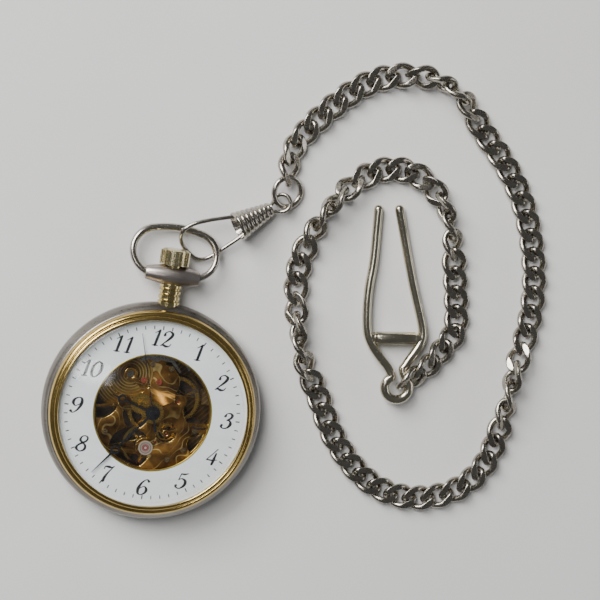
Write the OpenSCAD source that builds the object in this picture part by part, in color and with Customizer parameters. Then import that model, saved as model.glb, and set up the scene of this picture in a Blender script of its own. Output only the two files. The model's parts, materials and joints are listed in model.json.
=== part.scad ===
// Open-face skeleton pocket watch with bow, snap hook, curb chain and wire clip.
// Axis of the watch is Z, dial up, twelve o'clock and the crown toward +Y, back on z = 0.

/* [Case] */
// Largest diameter of the case band
case_d = 46; // [46:0.5:47]
// Height of the dial above the back
dial_z = 7.3; // [7.3:0.05:7.4]
// Rise of the domed crystal above its edge
dome_h = 3.0; // [3.0:0.1:3.4]
// Diameter of the window in the dial
window_d = 24.9; // [24.5:0.1:25.5]
// Length of the bow_yoke bar that carries the bow
yoke_l = 11.3; // [11:0.1:12]

/* [Crown and bow] */
// Diameter of the winding crown
crown_d = 6.2; // [5.8:0.1:6.4]
// Length of the winding crown
crown_l = 3.0; // [2.6:0.1:3.2]
// Number of flutes on the crown
crown_flutes = 24; // [18:1:30]
// Wire diameter of the bow
bow_wire = 1.45; // [1.3:0.05:1.5]
// How far the bow droops toward the table
bow_droop = 14; // [12:1:15]

/* [Time shown] */
// Hour hand, degrees clockwise from twelve
hour_angle = 288; // [0:1:359]
// Minute hand, degrees clockwise from twelve
minute_angle = 218; // [0:1:359]
// Seconds hand, degrees clockwise from twelve
second_angle = 344; // [0:1:359]

/* [Chain and clip] */
// Wire diameter of one chain link
link_wire = 1.26; // [1.2:0.02:1.3]
// Width of a link over the middle of its wire
link_w = 4.2; // [4.1:0.05:4.3]
// Thickness left after the links are ground flat
link_h = 2.4; // [2.2:0.1:2.6]
// Wire diameter of the clip
clip_wire_d = 2.0; // [1.8:0.1:2.0]

/* [Hidden] */
$fn = 64;
eps = 0.01;
steel = [0.72, 0.72, 0.70];
dark_steel = [0.45, 0.44, 0.42];
gold = [0.85, 0.70, 0.35];
brass = [0.62, 0.46, 0.20];
ruby = [0.75, 0.10, 0.25];
white = [0.92, 0.92, 0.90];
black = [0.05, 0.05, 0.06];
clear = [0.85, 0.90, 0.92, 0.35];

case_r = case_d / 2;
stem_z = 4.4;
pivot_y = 28.8;

// wheel positions in the movement
barrel_xy = [-5.6, 7.3];
third_xy = [4.85, 2.8];
escape_xy = [3.54, -4.21];
pallet_xy = [1.5, -6.3];
balance_xy = [-0.3, -7.7];
minute_xy = [-2.55, 1.58];
crown_wheel_xy = [0, 13];
click_xy = [-12.2, 9.4];

// ---------- shared shapes ----------

// straight-flanked gear with pitch radius m*n/2, one tooth centred on +X
module gear2d(n, m, add = 0.8, ded = 1.1, land = 0.42) {
    r = m * n / 2;
    a = 360 / n;
    polygon([for (i = [0:n - 1]) for (p = [[-0.5 + land / 2 - 0.02, r - ded * m], [-land / 2 + 0.06, r + add * m], [land / 2 - 0.06, r + add * m], [0.5 - land / 2 + 0.02, r - ded * m]])
        [p[1] * cos((i + p[0]) * a), p[1] * sin((i + p[0]) * a)]]);
}

// toothed wheel with a rim, spokes and a hub
module wheel(n, m, t, spokes = 4, rim = 0.7, hub = 0.9, bore = 0.2, w = 0.4) {
    r = m * n / 2 - 1.1 * m;
    linear_extrude(t) difference() {
        union() {
            difference() {
                gear2d(n, m);
                circle(r = r - rim);
            }
            circle(r = hub);
            for (i = [0:spokes - 1]) rotate(i * 360 / spokes) translate([0, -w / 2]) square([r - rim / 2, w]);
        }
        if (bore > 0) circle(r = bore);
    }
}

module at(p, z = 0) { translate([p[0], p[1], z]) children(); }

// revolves a profile of [radius, height] points about the Y direction at the stem height
module about_y(y) { translate([0, y, stem_z]) rotate([-90, 0, 0]) children(); }

// a round tube swept along a line of points, closed with flat ends; r is one radius or a list of them
function unit(v) = v / norm(v);
function tangent(p, i) = unit(p[min(i + 1, len(p) - 1)] - p[max(i - 1, 0)]);
function frames(p, i = 0, n = undef) =
    let (t = tangent(p, i),
         s = is_undef(n) ? (abs(t[2]) < 0.9 ? [0, 0, 1] : [1, 0, 0]) : n,
         u = unit(s - (s * t) * t))
    i == len(p) - 1 ? [[u, cross(t, u)]] : concat([[u, cross(t, u)]], frames(p, i + 1, u));
module sweep(p, r, sides = 8) {
    f = frames(p);
    n = len(p);
    pts = [for (i = [0:n - 1]) for (j = [0:sides - 1])
        p[i] + (is_list(r) ? r[i] : r) * (cos(j * 360 / sides) * f[i][0] + sin(j * 360 / sides) * f[i][1])];
    polyhedron(pts, concat(
        [for (i = [0:n - 2]) for (j = [0:sides - 1])
            [i * sides + j, (i + 1) * sides + j, (i + 1) * sides + (j + 1) % sides, i * sides + (j + 1) % sides]],
        [[for (j = [0:sides - 1]) j]],
        [[for (j = [sides - 1:-1:0]) (n - 1) * sides + j]]), convexity = 6);
}

// cubic B-spline through a list of guide points, k samples a span
function spline(P, k) = concat([P[0]], [for (i = [0:len(P) - 2]) for (j = [1:k])
    let (t = j / k, a = P[max(i - 1, 0)], b = P[i], c = P[i + 1], d = P[min(i + 2, len(P) - 1)])
    (pow(1 - t, 3) * a + (3 * t * t * t - 6 * t * t + 4) * b + (-3 * t * t * t + 3 * t * t + 3 * t + 1) * c + t * t * t * d) / 6]);

// ---------- case ----------

module case_band() {
    color(steel) difference() {
        rotate_extrude() polygon([[19, 0.95], [20.6, 0.95], [21.9, 1.8], [case_r, 3.5], [case_r, 5.3], [22.6, 6.3], [21.7, dial_z], [19, dial_z]]);
        about_y(15) cylinder(r = 1.5, h = 12);
        about_y(22.2) cylinder(r = 2.3, h = 4);
    }
}

module case_back() {
    color(steel) rotate_extrude() polygon([[17.2, 0], [19.3, 0], [20.2, 0.25], [20.6, 0.6], [20.6, 0.95], [17.2, 0.95]]);
}

module back_crystal() {
    color(clear) cylinder(r = 17.2, h = 0.9);
}

module front_bezel() {
    z = dial_z;
    color(gold) rotate_extrude() polygon([[19.85, z], [21.7, z], [21.85, z + 0.35], [21.75, z + 0.8], [21.4, z + 1.3], [20.8, z + 1.75],
        [20.2, z + 1.95], [19.8, z + 1.95], [19.6, z + 1.8], [19.6, z + 1.6], [19.85, z + 1.6]]);
}

module front_crystal() {
    z = dial_z;
    rise = dome_h;
    ro = (19.6 * 19.6 + rise * rise) / (2 * rise);
    ri = ro - 0.8;
    top = z + 1.6 + rise;
    color(clear) difference() {
        intersection() {
            union() {
                translate([0, 0, z + 0.3]) cylinder(r = 19.8, h = 1.3);
                translate([0, 0, z + 1.5]) cylinder(r = 19.55, h = rise + 0.2);
            }
            translate([0, 0, top - ro]) sphere(r = ro, $fn = 180);
        }
        intersection() {
            translate([0, 0, top - ro - 0.1]) sphere(r = ri, $fn = 180);
            cylinder(r = 18.9, h = 30);
        }
    }
}

module pendant() {
    color(gold) difference() {
        about_y(0) union() {
            translate([0, 0, 19.2]) cylinder(r = 1.5, h = 3.1);
            rotate_extrude() polygon([[0, 22.2], [2.3, 22.2], [2.3, 23.3], [2.05, 23.5], [2.05, 23.7], [2.3, 23.9], [2.3, 24.5],
                [2.05, 24.7], [2.05, 24.9], [2.3, 25.1], [2.3, 25.7], [2.05, 25.9], [2.05, 26.1], [2.3, 26.3], [2.3, 26.9], [1.6, 26.9], [1.6, 30.9], [0, 30.9]]);
        }
        about_y(15) cylinder(r = 1.05, h = 20);
    }
}

module bow_yoke() {
    h = yoke_l / 2;
    color(steel) difference() {
        translate([0, pivot_y, stem_z]) rotate([0, 90, 0]) rotate_extrude() polygon(concat(
            [[0, -h]], [for (i = [-10:10]) let (x = i / 10) [1.4 + 0.85 * (1 - x * x), x * h]], [[0, h]]));
        about_y(25) cylinder(r = 1.6, h = 8);
        about_y(25) cylinder(r = 2.3, h = 1.9);
        for (s = [-1, 1]) translate([s * 3.4, pivot_y, stem_z]) rotate([0, s * 90, 0]) {
            cylinder(r = 0.8, h = 6);
            translate([0, 0, 1.5]) cylinder(r1 = 0.8, r2 = 1.15, h = h - 4.9 + eps);
        }
    }
}

// the bow lies in its own plane: side arcs about [3.9, 4.8] joined by a flatter arc over the top
bow_side = [3.9, 4.8];
bow_r1 = 4.925;
bow_d = 14.22;
bow_r2 = 19.67;
bow_a = atan(bow_side[0] / bow_d);
bow_right = concat([[4.75, 0, 0], [5.1, 0, 0]],
    [for (i = [1:13]) let (t = -77.1 + (167.1 - bow_a) * i / 13) [bow_side[0] + bow_r1 * cos(t), bow_side[1] + bow_r1 * sin(t), 0]],
    [for (i = [1:2]) let (t = 90 - bow_a + bow_a * i / 2) [bow_r2 * cos(t), bow_side[1] - bow_d + bow_r2 * sin(t), 0]]);
bow_path = concat(bow_right, [for (i = [len(bow_right) - 2:-1:0]) [-bow_right[i][0], bow_right[i][1], 0]]);

module bow() {
    w = bow_wire / 2;
    color(steel) translate([0, pivot_y, stem_z]) rotate([-bow_droop, 0, 0]) {
        sweep(bow_path, [for (p = bow_path) w * (0.92 + 0.16 * p[1] / 10)], 12);
        for (s = [-1, 1]) translate([s * 3.7, 0, 0]) rotate([0, s * 90, 0]) cylinder(r = 0.6, h = 1.3);
    }
}

module crown_gasket() {
    color(black) about_y(28) difference() {
        cylinder(r = 1.02, h = 0.8);
        translate([0, 0, -1]) cylinder(r = 0.63, h = 4);
    }
}

module crown() {
    color(gold) about_y(31.1) difference() {
        union() {
            cylinder(r = crown_d / 2 - 0.25, h = crown_l);
            cylinder(r = crown_d / 2 - 0.1, h = 0.3);
            translate([0, 0, crown_l]) cylinder(r1 = crown_d / 2 - 0.3, r2 = crown_d / 2 - 0.7, h = 0.3);
            linear_extrude(crown_l - 0.1) for (i = [0:crown_flutes - 1]) rotate(i * 360 / crown_flutes)
                polygon([[2, -0.28], [crown_d / 2 - 0.12, -0.24], [crown_d / 2, -0.1], [crown_d / 2, 0.1], [crown_d / 2 - 0.12, 0.24], [2, 0.28]]);
        }
        translate([0, 0, -1]) cylinder(r = 0.6, h = 2.6);
    }
}

module winding_stem() {
    color(dark_steel) about_y(0) {
        translate([0, 0, 14.2]) cylinder(r = 0.6, h = 18.5);
        translate([0, 0, 13.75]) cylinder(r = 0.3, h = 0.6);
    }
}

// ---------- dial and hands ----------

module dial() {
    color(white) translate([0, 0, dial_z]) difference() {
        cylinder(r = 19.8, h = 0.25);
        translate([0, 0, -1]) cylinder(r = window_d / 2, h = 3);
    }
}

module dial_rim() {
    color(gold) translate([0, 0, dial_z - 0.3]) difference() {
        cylinder(r = window_d / 2, h = 0.55);
        translate([0, 0, -1]) cylinder(r = window_d / 2 - 0.35, h = 3);
    }
}

// a hand that points along +X: hub, tapered arm, ring and tip
module hand(z, t, bore, hub, ring_at, ring_r, tip, w0, w1) {
    translate([0, 0, z]) linear_extrude(t) difference() {
        union() {
            circle(r = hub);
            polygon([[0, -w0 / 2], [ring_at - ring_r + 0.1, -w1 / 2], [ring_at - ring_r + 0.1, w1 / 2], [0, w0 / 2]]);
            translate([ring_at, 0]) circle(r = ring_r);
            polygon([[ring_at + ring_r - 0.12, -0.22], [tip, -0.04], [tip, 0.04], [ring_at + ring_r - 0.12, 0.22]]);
        }
        circle(r = bore);
        translate([ring_at - 0.12, 0]) circle(r = ring_r - 0.38);
    }
}

module hour_hand() { color(black) rotate(90 - hour_angle) hand(7.75, 0.15, 1.05, 1.5, 7.1, 0.9, 9.3, 0.5, 0.42); }
module minute_hand() { color(black) rotate(90 - minute_angle) hand(8.0, 0.13, 0.75, 1.15, 10.9, 0.95, 17.6, 0.5, 0.36); }
module seconds_hand() {
    color(black) rotate(90 - second_angle) {
        translate([0, 0, 8.25]) linear_extrude(0.1) difference() {
            union() {
                circle(r = 0.7);
                polygon([[0, -0.13], [17, -0.05], [17, 0.05], [0, 0.13]]);
                polygon([[0, -0.16], [-4, -0.26], [-4, 0.26], [0, 0.16]]);
            }
            circle(r = 0.22);
        }
        translate([0, 0, 8.35]) cylinder(r = 0.45, h = 0.12);
    }
}

// ---------- movement: fixed pieces ----------

module movement_ring() {
    color(steel) translate([0, 0, 5.2]) difference() {
        cylinder(r = 19, h = 1.2);
        translate([0, 0, -1]) cylinder(r = 18.5, h = 4);
        translate([0, 18, stem_z - 5.2]) rotate([-90, 0, 0]) cylinder(r = 1.2, h = 4);
    }
}

module main_plate() {
    color(brass) translate([0, 0, 5.2]) linear_extrude(1.2) difference() {
        circle(r = 18.5);
        // barrel opening
        difference() {
            intersection() { circle(r = 11.9); translate(barrel_xy) circle(r = 4.6); }
            translate(barrel_xy) circle(r = 1.4);
            translate(barrel_xy) rotate(-40) translate([0, -0.45]) square([6, 0.9]);
        }
        // leaf opening at one o'clock
        difference() {
            intersection() { circle(r = 11.8); translate([6.6, 9.6]) circle(r = 5.4); }
            translate([1.2, 6.6]) circle(r = 3.6);
        }
        // opening at three o'clock, parted by a bar
        difference() {
            intersection() { circle(r = 12); translate([10.6, 1.6]) circle(r = 4.2); }
            translate([5, -1.9]) square([8, 0.6]);
            translate([4.85, 2.8]) circle(r = 1.9);
        }
        // opening at four o'clock
        intersection() { circle(r = 11.9); translate([10.6, -5.6]) circle(r = 2.4); }
        // balance opening at seven o'clock
        difference() {
            intersection() { circle(r = 11.9); translate([-3.6, -8.2]) circle(r = 4.4); }
            translate(balance_xy) circle(r = 2.2);
            translate([-12, -9.2]) square([14, 0.8]);
        }
        // escape opening
        difference() {
            translate([3.4, -3.9]) circle(r = 2.2);
            translate(escape_xy) circle(r = 0.8);
            translate(escape_xy) rotate(25) translate([0, -0.35]) square([4, 0.7]);
        }
        // opening at nine o'clock
        difference() {
            intersection() { circle(r = 11.9); translate([-10.9, 0.9]) circle(r = 3.5); }
            translate([-12.5, -0.6]) rotate(12) square([6, 0.5]);
        }
        // centre wheel opening
        difference() {
            intersection() { translate([-3.6, -1.2]) circle(r = 2.9); circle(r = 6.2); }
            circle(r = 1.9);
            translate(minute_xy) circle(r = 0.9);
        }
        circle(r = 0.75);
        translate(minute_xy) circle(r = 0.3);
        translate(third_xy) circle(r = 0.55);
        translate(escape_xy) circle(r = 0.45);
        translate(pallet_xy) circle(r = 0.4);
        translate(balance_xy) circle(r = 1.5);
        translate(barrel_xy) circle(r = 0.8);
        // slot for the winding works
        translate([-2.6, 13.7]) square([5.2, 6]);
        for (a = [35, 150, 215, 325]) rotate(a) translate([15.6, 0]) circle(r = 0.55);
    }
}

// wall sector that stands a bridge off the main plate
module rim_wall(a0, a1, z0, z1) {
    rotate(a0) rotate_extrude(angle = a1 - a0) translate([17.2, z0]) square([1.1, z1 - z0]);
}

module barrel_bridge() {
    color(brass) {
        translate([0, 0, 2.5]) linear_extrude(0.8) difference() {
            intersection() { circle(r = 18.4); translate([-19, 2.2]) square([38, 17]); }
            circle(r = 5.4);
            translate(third_xy) circle(r = 5.4);
            translate([-2.6, 15.7]) square([5.2, 4]);
            translate(barrel_xy) circle(r = 0.98);
            translate([10.8, 8.2]) circle(r = 2.2);
            translate(crown_wheel_xy) circle(r = 0.5);
        }
        rim_wall(25, 78, 3.25, 5.2);
        rim_wall(102, 120, 3.25, 5.2);
        rim_wall(142, 168, 3.25, 5.2);
    }
}

module train_bridge() {
    color(brass) {
        translate([0, 0, 1.9]) linear_extrude(0.55) difference() {
            union() {
                circle(r = 2.2);
                translate(third_xy) circle(r = 2.0);
                translate(escape_xy) circle(r = 1.5);
                polygon([[-1.5, 1.6], [4.4, 4.7], [13.5, 2.2], [16.8, -1], [16.6, -7], [12.2, -9.4], [3.2, -5.6], [-1.4, -1.6]]);
                intersection() { circle(r = 18.4); translate([11.5, -12]) square([8, 14]); }
            }
            circle(r = 0.3);
            translate(third_xy) circle(r = 0.35);
            translate(escape_xy) circle(r = 0.3);
            translate([9.2, -2.8]) circle(r = 2.1);
        }
        rim_wall(-40, 5, 2.4, 5.2);
    }
}

module balance_cock() {
    color(brass) {
        translate([0, 0, 1.75]) linear_extrude(0.6) difference() {
            union() {
                translate(balance_xy) circle(r = 1.9);
                polygon([[-1.9, -6.9], [-13.4, -10.6], [-10.6, -14.2], [-0.6, -9.5]]);
                intersection() { circle(r = 18.4); translate([-17, -17]) square([7.5, 9]); }
            }
            translate(balance_xy) circle(r = 0.9);
        }
        rim_wall(212, 234, 2.3, 5.2);
    }
}

module pallet_bridge() {
    color(brass) {
        translate([0, 0, 3.55]) linear_extrude(0.35) difference() {
            union() {
                translate(pallet_xy) circle(r = 0.65);
                polygon([[1.2, -6.9], [7.2, -10.3], [8.2, -8.8], [1.9, -5.75]]);
                translate([7.6, -9.5]) circle(r = 1.1);
            }
            translate(pallet_xy) circle(r = 0.22);
        }
        translate([7.6, -9.5, 3.85]) cylinder(r = 1.05, h = 1.35);
    }
}

module screw(p, z, r = 0.85, h = 0.35, up = 0) {
    at(p, z) difference() {
        cylinder(r = r, h = h);
        translate([-r - 1, -0.1, up ? h - 0.12 : -1]) cube([2 * r + 2, 0.2, up ? 1 : 1.12]);
    }
}

module movement_screws() {
    color(dark_steel) {
        for (p = [[-15.6, 4.2], [13.5, 11.3], [4.6, 16.6]]) screw(p, 2.15);
        for (p = [[15.6, -4.6], [14.2, -9.6]]) screw(p, 1.55);
        screw([-12.6, -12.6], 1.4);
        screw([7.6, -9.5], 3.2, 0.7);
        screw(crown_wheel_xy, 1.4, 1.0, 0.45);
        screw(barrel_xy, 1.4, 1.2, 0.45);
        // posts that the click, the crown wheel and the minute wheel turn on
        at(click_xy, 1.8) cylinder(r = 0.3, h = 0.7);
        at(crown_wheel_xy, 1.85) cylinder(r = 0.4, h = 0.8);
        at(minute_xy, 5.3) cylinder(r = 0.2, h = 1.85);
        // heads that show on the dial side
        for (p = [[8.2, 5.6], [4.6, -9.6], [-9.2, -5.2], [7.6, -7.2], [2.6, 9.6], [-1.4, 9.9], [9.4, -2.9]]) screw(p, 6.4, 0.55, 0.2, 1);
    }
}

module jewel(p, z, ro, ri, h) { at(p, z) difference() { cylinder(r = ro, h = h); translate([0, 0, -1]) cylinder(r = ri, h = 4); } }

module jewels() {
    color(ruby) {
        jewel(third_xy, 5.2, 0.55, 0.24, 0.5);
        jewel(escape_xy, 5.2, 0.45, 0.18, 0.5);
        jewel(pallet_xy, 5.2, 0.4, 0.15, 0.5);
        jewel(third_xy, 1.95, 0.35, 0.24, 0.4);
        jewel(escape_xy, 1.95, 0.3, 0.18, 0.4);
        jewel([0, 0], 1.95, 0.3, 0.25, 0.4);
        jewel([-2.8, 6.5], 6.45, 0.6, 0.2, 0.3);
        jewel([0.4, 6.5], 6.45, 0.6, 0.2, 0.3);
    }
}

module shock_setting() {
    color(steel) at(balance_xy, 5.3) {
        difference() {
            cylinder(r = 1.5, h = 1.3);
            translate([0, 0, -1]) cylinder(r = 0.5, h = 4);
            translate([0, 0, 0.9]) cylinder(r = 1.15, h = 2);
        }
        translate([0, 0, 0.9]) difference() {
            cylinder(r = 1.1, h = 0.25);
            translate([0, 0, -1]) cylinder(r = 0.75, h = 3);
        }
    }
    color(ruby) at(balance_xy, 6.22) cylinder(r = 0.7, h = 0.25);
}

module shock_settings() {
    shock_setting();
    color(steel) at(balance_xy, 1.6) difference() {
        cylinder(r = 0.9, h = 0.7);
        translate([0, 0, 0.3]) cylinder(r = 0.2, h = 2);
    }
}

module regulator() {
    color(steel) at(balance_xy, 1.35) linear_extrude(0.2) difference() {
        union() {
            circle(r = 1.6);
            rotate(150) translate([0, -0.25]) square([4.4, 0.5]);
            rotate(-60) translate([0, -0.35]) square([2.4, 0.7]);
        }
        circle(r = 1.0);
    }
}

// flat spiral strip
module spiral(r0, r1, turns, t, h, steps = 20) {
    n = turns * steps;
    pts = [for (i = [0:n]) let (a = i * 360 / steps, r = r0 + (r1 - r0) * i / n) [r * cos(a), r * sin(a)]];
    inn = [for (i = [n:-1:0]) let (a = i * 360 / steps, r = r0 + (r1 - r0) * i / n - t) [r * cos(a), r * sin(a)]];
    linear_extrude(h) polygon(concat(pts, inn));
}

module hairspring() {
    color(dark_steel) at(balance_xy, 2.55) spiral(0.75, 2.25, 6, 0.06, 0.2);
}

module click() {
    color(dark_steel) at(click_xy, 1.9) linear_extrude(0.45) difference() {
        union() {
            circle(r = 0.9);
            rotate(-28) polygon([[0, -0.6], [1.35, -0.3], [1.5, 0.1], [0, 0.7]]);
            rotate(150) polygon([[0, -0.5], [1.6, -0.25], [1.6, 0.25], [0, 0.5]]);
        }
        circle(r = 0.35);
    }
}

module click_spring() {
    color(dark_steel) translate([0, 0, 1.95]) linear_extrude(0.3) {
        translate([-13.2, 5.2]) circle(r = 0.7);
        polygon([[-13.5, 5.0], [-13.75, 5.7], [-14.5, 8.0], [-14.7, 10.0], [-14.45, 10.0], [-14.25, 8.1], [-13.3, 5.7], [-13.0, 5.0]]);
    }
}

// ---------- keyless works on the dial side ----------

module setting_lever_shape() {
    color(dark_steel) translate([0, 0, 6.45]) linear_extrude(0.35) difference() {
        union() {
            translate([4.2, 12.6]) circle(r = 1.1);
            polygon([[3.2, 12.9], [1.2, 12.9], [1.0, 12.2], [3.4, 11.6]]);
            polygon([[4.6, 11.8], [6.2, 9.6], [6.7, 10.0], [5.2, 12.8]]);
        }
        translate([4.2, 12.6]) circle(r = 0.35);
    }
}

module setting_spring_shape() {
    color(steel) translate([0, 0, 6.45]) linear_extrude(0.25) difference() {
        union() {
            translate([-1.0, 12.2]) circle(r = 1.6);
            polygon([[-2.0, 11.4], [2.4, 10.9], [4.4, 8.9], [4.7, 9.2], [2.8, 11.5], [-0.8, 12.8]]);
            polygon([[-2.4, 12.6], [-6.2, 12.2], [-6.2, 11.6], [-2.0, 11.6]]);
        }
        translate([-1.0, 12.2]) circle(r = 0.5);
        translate([2.6, 9.6]) circle(r = 0.7);
        translate([-1.4, 9.9]) circle(r = 0.7);
    }
}

module yoke_lever_shape() {
    color(dark_steel) translate([0, 0, 6.85]) linear_extrude(0.12) difference() {
        polygon([[-4.6, 11.0], [-3.9, 10.4], [0.4, 12.2], [3.4, 11.4], [3.6, 11.9], [0.6, 13.0], [-4.2, 11.6]]);
        translate([-4.2, 11.0]) circle(r = 0.2);
    }
}

module keyless_levers() {
    setting_lever_shape();
    setting_spring_shape();
    yoke_lever_shape();
}

// ---------- movement: moving pieces ----------

module winding_pinion() {
    color(dark_steel) about_y(15.98) difference() {
        linear_extrude(0.42) gear2d(18, 0.25, 0.0, 1.1);
        translate([0, 0, -1]) cylinder(r = 0.65, h = 4);
    }
}

module sliding_pinion() {
    color(dark_steel) about_y(14.25) difference() {
        union() {
            cylinder(r = 1.0, h = 0.3);
            cylinder(r = 0.8, h = 0.6);
        }
        translate([0, 0, -1]) cylinder(r = 0.6, h = 4);
    }
}

module crown_wheel() {
    color(steel) at(crown_wheel_xy, 1.9) difference() {
        linear_extrude(0.5) rotate(8) gear2d(24, 0.25, -0.2, 1.3);
        translate([0, 0, -1]) cylinder(r = 0.45, h = 3);
    }
}

module ratchet_wheel() {
    color(steel) at(barrel_xy, 1.9) difference() {
        linear_extrude(0.5) rotate(45.5) gear2d(40, 0.25, 0.6, 1.1);
        translate([-0.55, -0.55, -1]) cube([1.1, 1.1, 4]);
    }
}

module barrel_arbor() {
    color(dark_steel) at(barrel_xy) {
        translate([-0.54, -0.54, 1.9]) cube([1.08, 1.08, 0.55]);
        translate([0, 0, 2.45]) cylinder(r = 0.9, h = 1.5);
        translate([0, 0, 3.95]) cylinder(r = 1.15, h = 0.95);
        translate([0, 0, 4.9]) cylinder(r = 0.7, h = 0.9);
    }
}

module barrel_drum() {
    color(brass) at(barrel_xy) difference() {
        union() {
            translate([0, 0, 4.0]) cylinder(r = 7.2, h = 1.0);
            translate([0, 0, 4.55]) linear_extrude(0.45) rotate(-52.5) gear2d(80, 0.2);
        }
        translate([0, 0, 3.5]) cylinder(r = 6.7, h = 1.3);
        cylinder(r = 1.25, h = 10);
    }
}

// drum with its snapped-in cover
module barrel() {
    barrel_drum();
    color(brass) at(barrel_xy, 4.0) difference() {
        cylinder(r = 6.65, h = 0.15);
        translate([0, 0, -1]) cylinder(r = 1.25, h = 3);
    }
}

module mainspring() {
    color(steel) at(barrel_xy, 4.2) spiral(2.0, 6.5, 7, 0.14, 0.55);
}

module centre_wheel() {
    color(brass) difference() {
        union() {
            translate([0, 0, 3.65]) rotate(30) wheel(80, 11.2 / 90, 0.2, 5, 0.6, 0.95, 0, 0.35);
            translate([0, 0, 3.75]) cylinder(r = 0.5, h = 4.1);
            translate([0, 0, 3.8]) cylinder(r = 0.8, h = 0.75);
            translate([0, 0, 4.5]) linear_extrude(0.55) rotate(142.5) gear2d(12, 0.2, 0.7, 1.1, 0.36);
        }
        cylinder(r = 0.3, h = 20);
    }
}

module cannon_pinion() {
    color(dark_steel) difference() {
        union() {
            translate([0, 0, 6.45]) cylinder(r = 0.6, h = 1.7);
            translate([0, 0, 6.8]) cylinder(r = 0.75, h = 1.33);
            translate([0, 0, 6.45]) linear_extrude(0.3) rotate(148 + 15) gear2d(12, 0.125, 0.7, 1.1, 0.36);
        }
        cylinder(r = 0.5, h = 20);
    }
}

module minute_wheel() {
    color(brass) at(minute_xy) difference() {
        union() {
            translate([0, 0, 6.5]) linear_extrude(0.18) rotate(-31.8) gear2d(36, 0.125, 0.7, 1.1, 0.36);
            translate([0, 0, 6.6]) linear_extrude(0.5) rotate(-31.8) gear2d(10, 0.12, 0.7, 1.1, 0.36);
        }
        translate([0, 0, 6]) cylinder(r = 0.25, h = 3);
    }
}

module hour_wheel() {
    color(brass) difference() {
        union() {
            translate([0, 0, 6.85]) linear_extrude(0.2) rotate(148.2 + 4.5) gear2d(40, 0.12, 0.7, 1.1, 0.36);
            translate([0, 0, 6.85]) cylinder(r = 1.05, h = 1.05);
        }
        cylinder(r = 0.82, h = 20);
    }
}

module third_wheel() {
    color(brass) at(third_xy) {
        translate([0, 0, 3.05]) rotate(210) wheel(75, 11.2 / 85, 0.2, 4, 0.6, 0.9, 0.2, 0.35);
        translate([0, 0, 2.0]) cylinder(r = 0.2, h = 3.6);
        translate([0, 0, 3.45]) linear_extrude(0.5) rotate(30 + 18) gear2d(10, 11.2 / 90, 0.7, 1.1, 0.36);
        translate([0, 0, 3.25]) cylinder(r = 0.4, h = 0.2);
    }
}

module fourth_wheel() {
    color(brass) {
        translate([0, 0, 2.65]) rotate(-49.94) wheel(80, 0.125, 0.15, 5, 0.6, 0.8, 0.22, 0.35);
        translate([0, 0, 2.0]) cylinder(r = 0.22, h = 6.25);
        translate([0, 0, 2.8]) cylinder(r = 0.4, h = 0.15);
        translate([0, 0, 2.95]) linear_extrude(0.4) rotate(30 + 18) gear2d(10, 11.2 / 85, 0.7, 1.1, 0.36);
    }
}

module escape_wheel() {
    color(steel) at(escape_xy) {
        translate([0, 0, 2.0]) cylinder(r = 0.15, h = 3.6);
        translate([0, 0, 2.55]) linear_extrude(0.4) rotate(130.06 + 22.5) gear2d(8, 0.125, 0.6, 1.1, 0.34);
        translate([0, 0, 4.3]) linear_extrude(0.2) {
            difference() {
                polygon([for (i = [0:14]) for (p = [[0, 1.9], [10, 1.95], [15, 2.4], [17, 2.38], [17.5, 1.9]])
                    [p[1] * cos(i * 24 + p[0]), p[1] * sin(i * 24 + p[0])]]);
                circle(r = 1.5);
            }
            circle(r = 0.5);
            for (i = [0:3]) rotate(i * 90) translate([0, -0.12]) square([1.7, 0.24]);
        }
    }
}

module pallet_fork() {
    a = atan2(pallet_xy[1] - escape_xy[1], pallet_xy[0] - escape_xy[0]);
    color(steel) {
        at(pallet_xy, 3.6) cylinder(r = 0.12, h = 2.0);
        translate([0, 0, 4.3]) linear_extrude(0.2) {
            at(pallet_xy) circle(r = 0.35);
            at(escape_xy) difference() {
                circle(r = 2.95);
                circle(r = 2.55);
                rotate(a + 34) translate([-6, 0]) square([12, 6]);
                rotate(a - 34) translate([-6, -6]) square([12, 6]);
            }
            at(pallet_xy) rotate(atan2(balance_xy[1] - pallet_xy[1], balance_xy[0] - pallet_xy[0])) {
                translate([0, -0.12]) square([1.2, 0.24]);
                translate([1.1, -0.35]) square([0.2, 0.7]);
                for (s = [-0.35, 0.2]) translate([1.2, s]) square([0.3, 0.15]);
            }
        }
    }
    color(ruby) translate([0, 0, 4.28]) linear_extrude(0.24) at(escape_xy) for (s = [-1, 1])
        rotate(a + s * 33) translate([2.54, -0.1]) square([0.42, 0.2]);
}

module balance_wheel() {
    color(gold) at(balance_xy, 3.0) linear_extrude(0.4) difference() {
        union() {
            difference() { circle(r = 4.7); circle(r = 4.15); }
            for (i = [0:2]) rotate(i * 120 + 20) translate([0, -0.25]) square([4.3, 0.5]);
            circle(r = 0.8);
        }
        circle(r = 0.35);
    }
}

module balance_staff() {
    color(steel) at(balance_xy) {
        translate([0, 0, 1.95]) cylinder(r = 0.12, h = 0.5);
        translate([0, 0, 2.45]) cylinder(r = 0.35, h = 1.55);
        translate([0, 0, 4.0]) cylinder(r = 0.7, h = 0.18);
        translate([0, 0, 4.18]) cylinder(r = 0.3, h = 0.8);
        translate([0, 0, 4.95]) cylinder(r = 0.12, h = 1.2);
    }
    color(ruby) at(balance_xy) rotate(38) translate([0.52, 0, 4.15]) cylinder(r = 0.09, h = 0.4);
}

// ---------- snap hook and ring ----------

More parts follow.
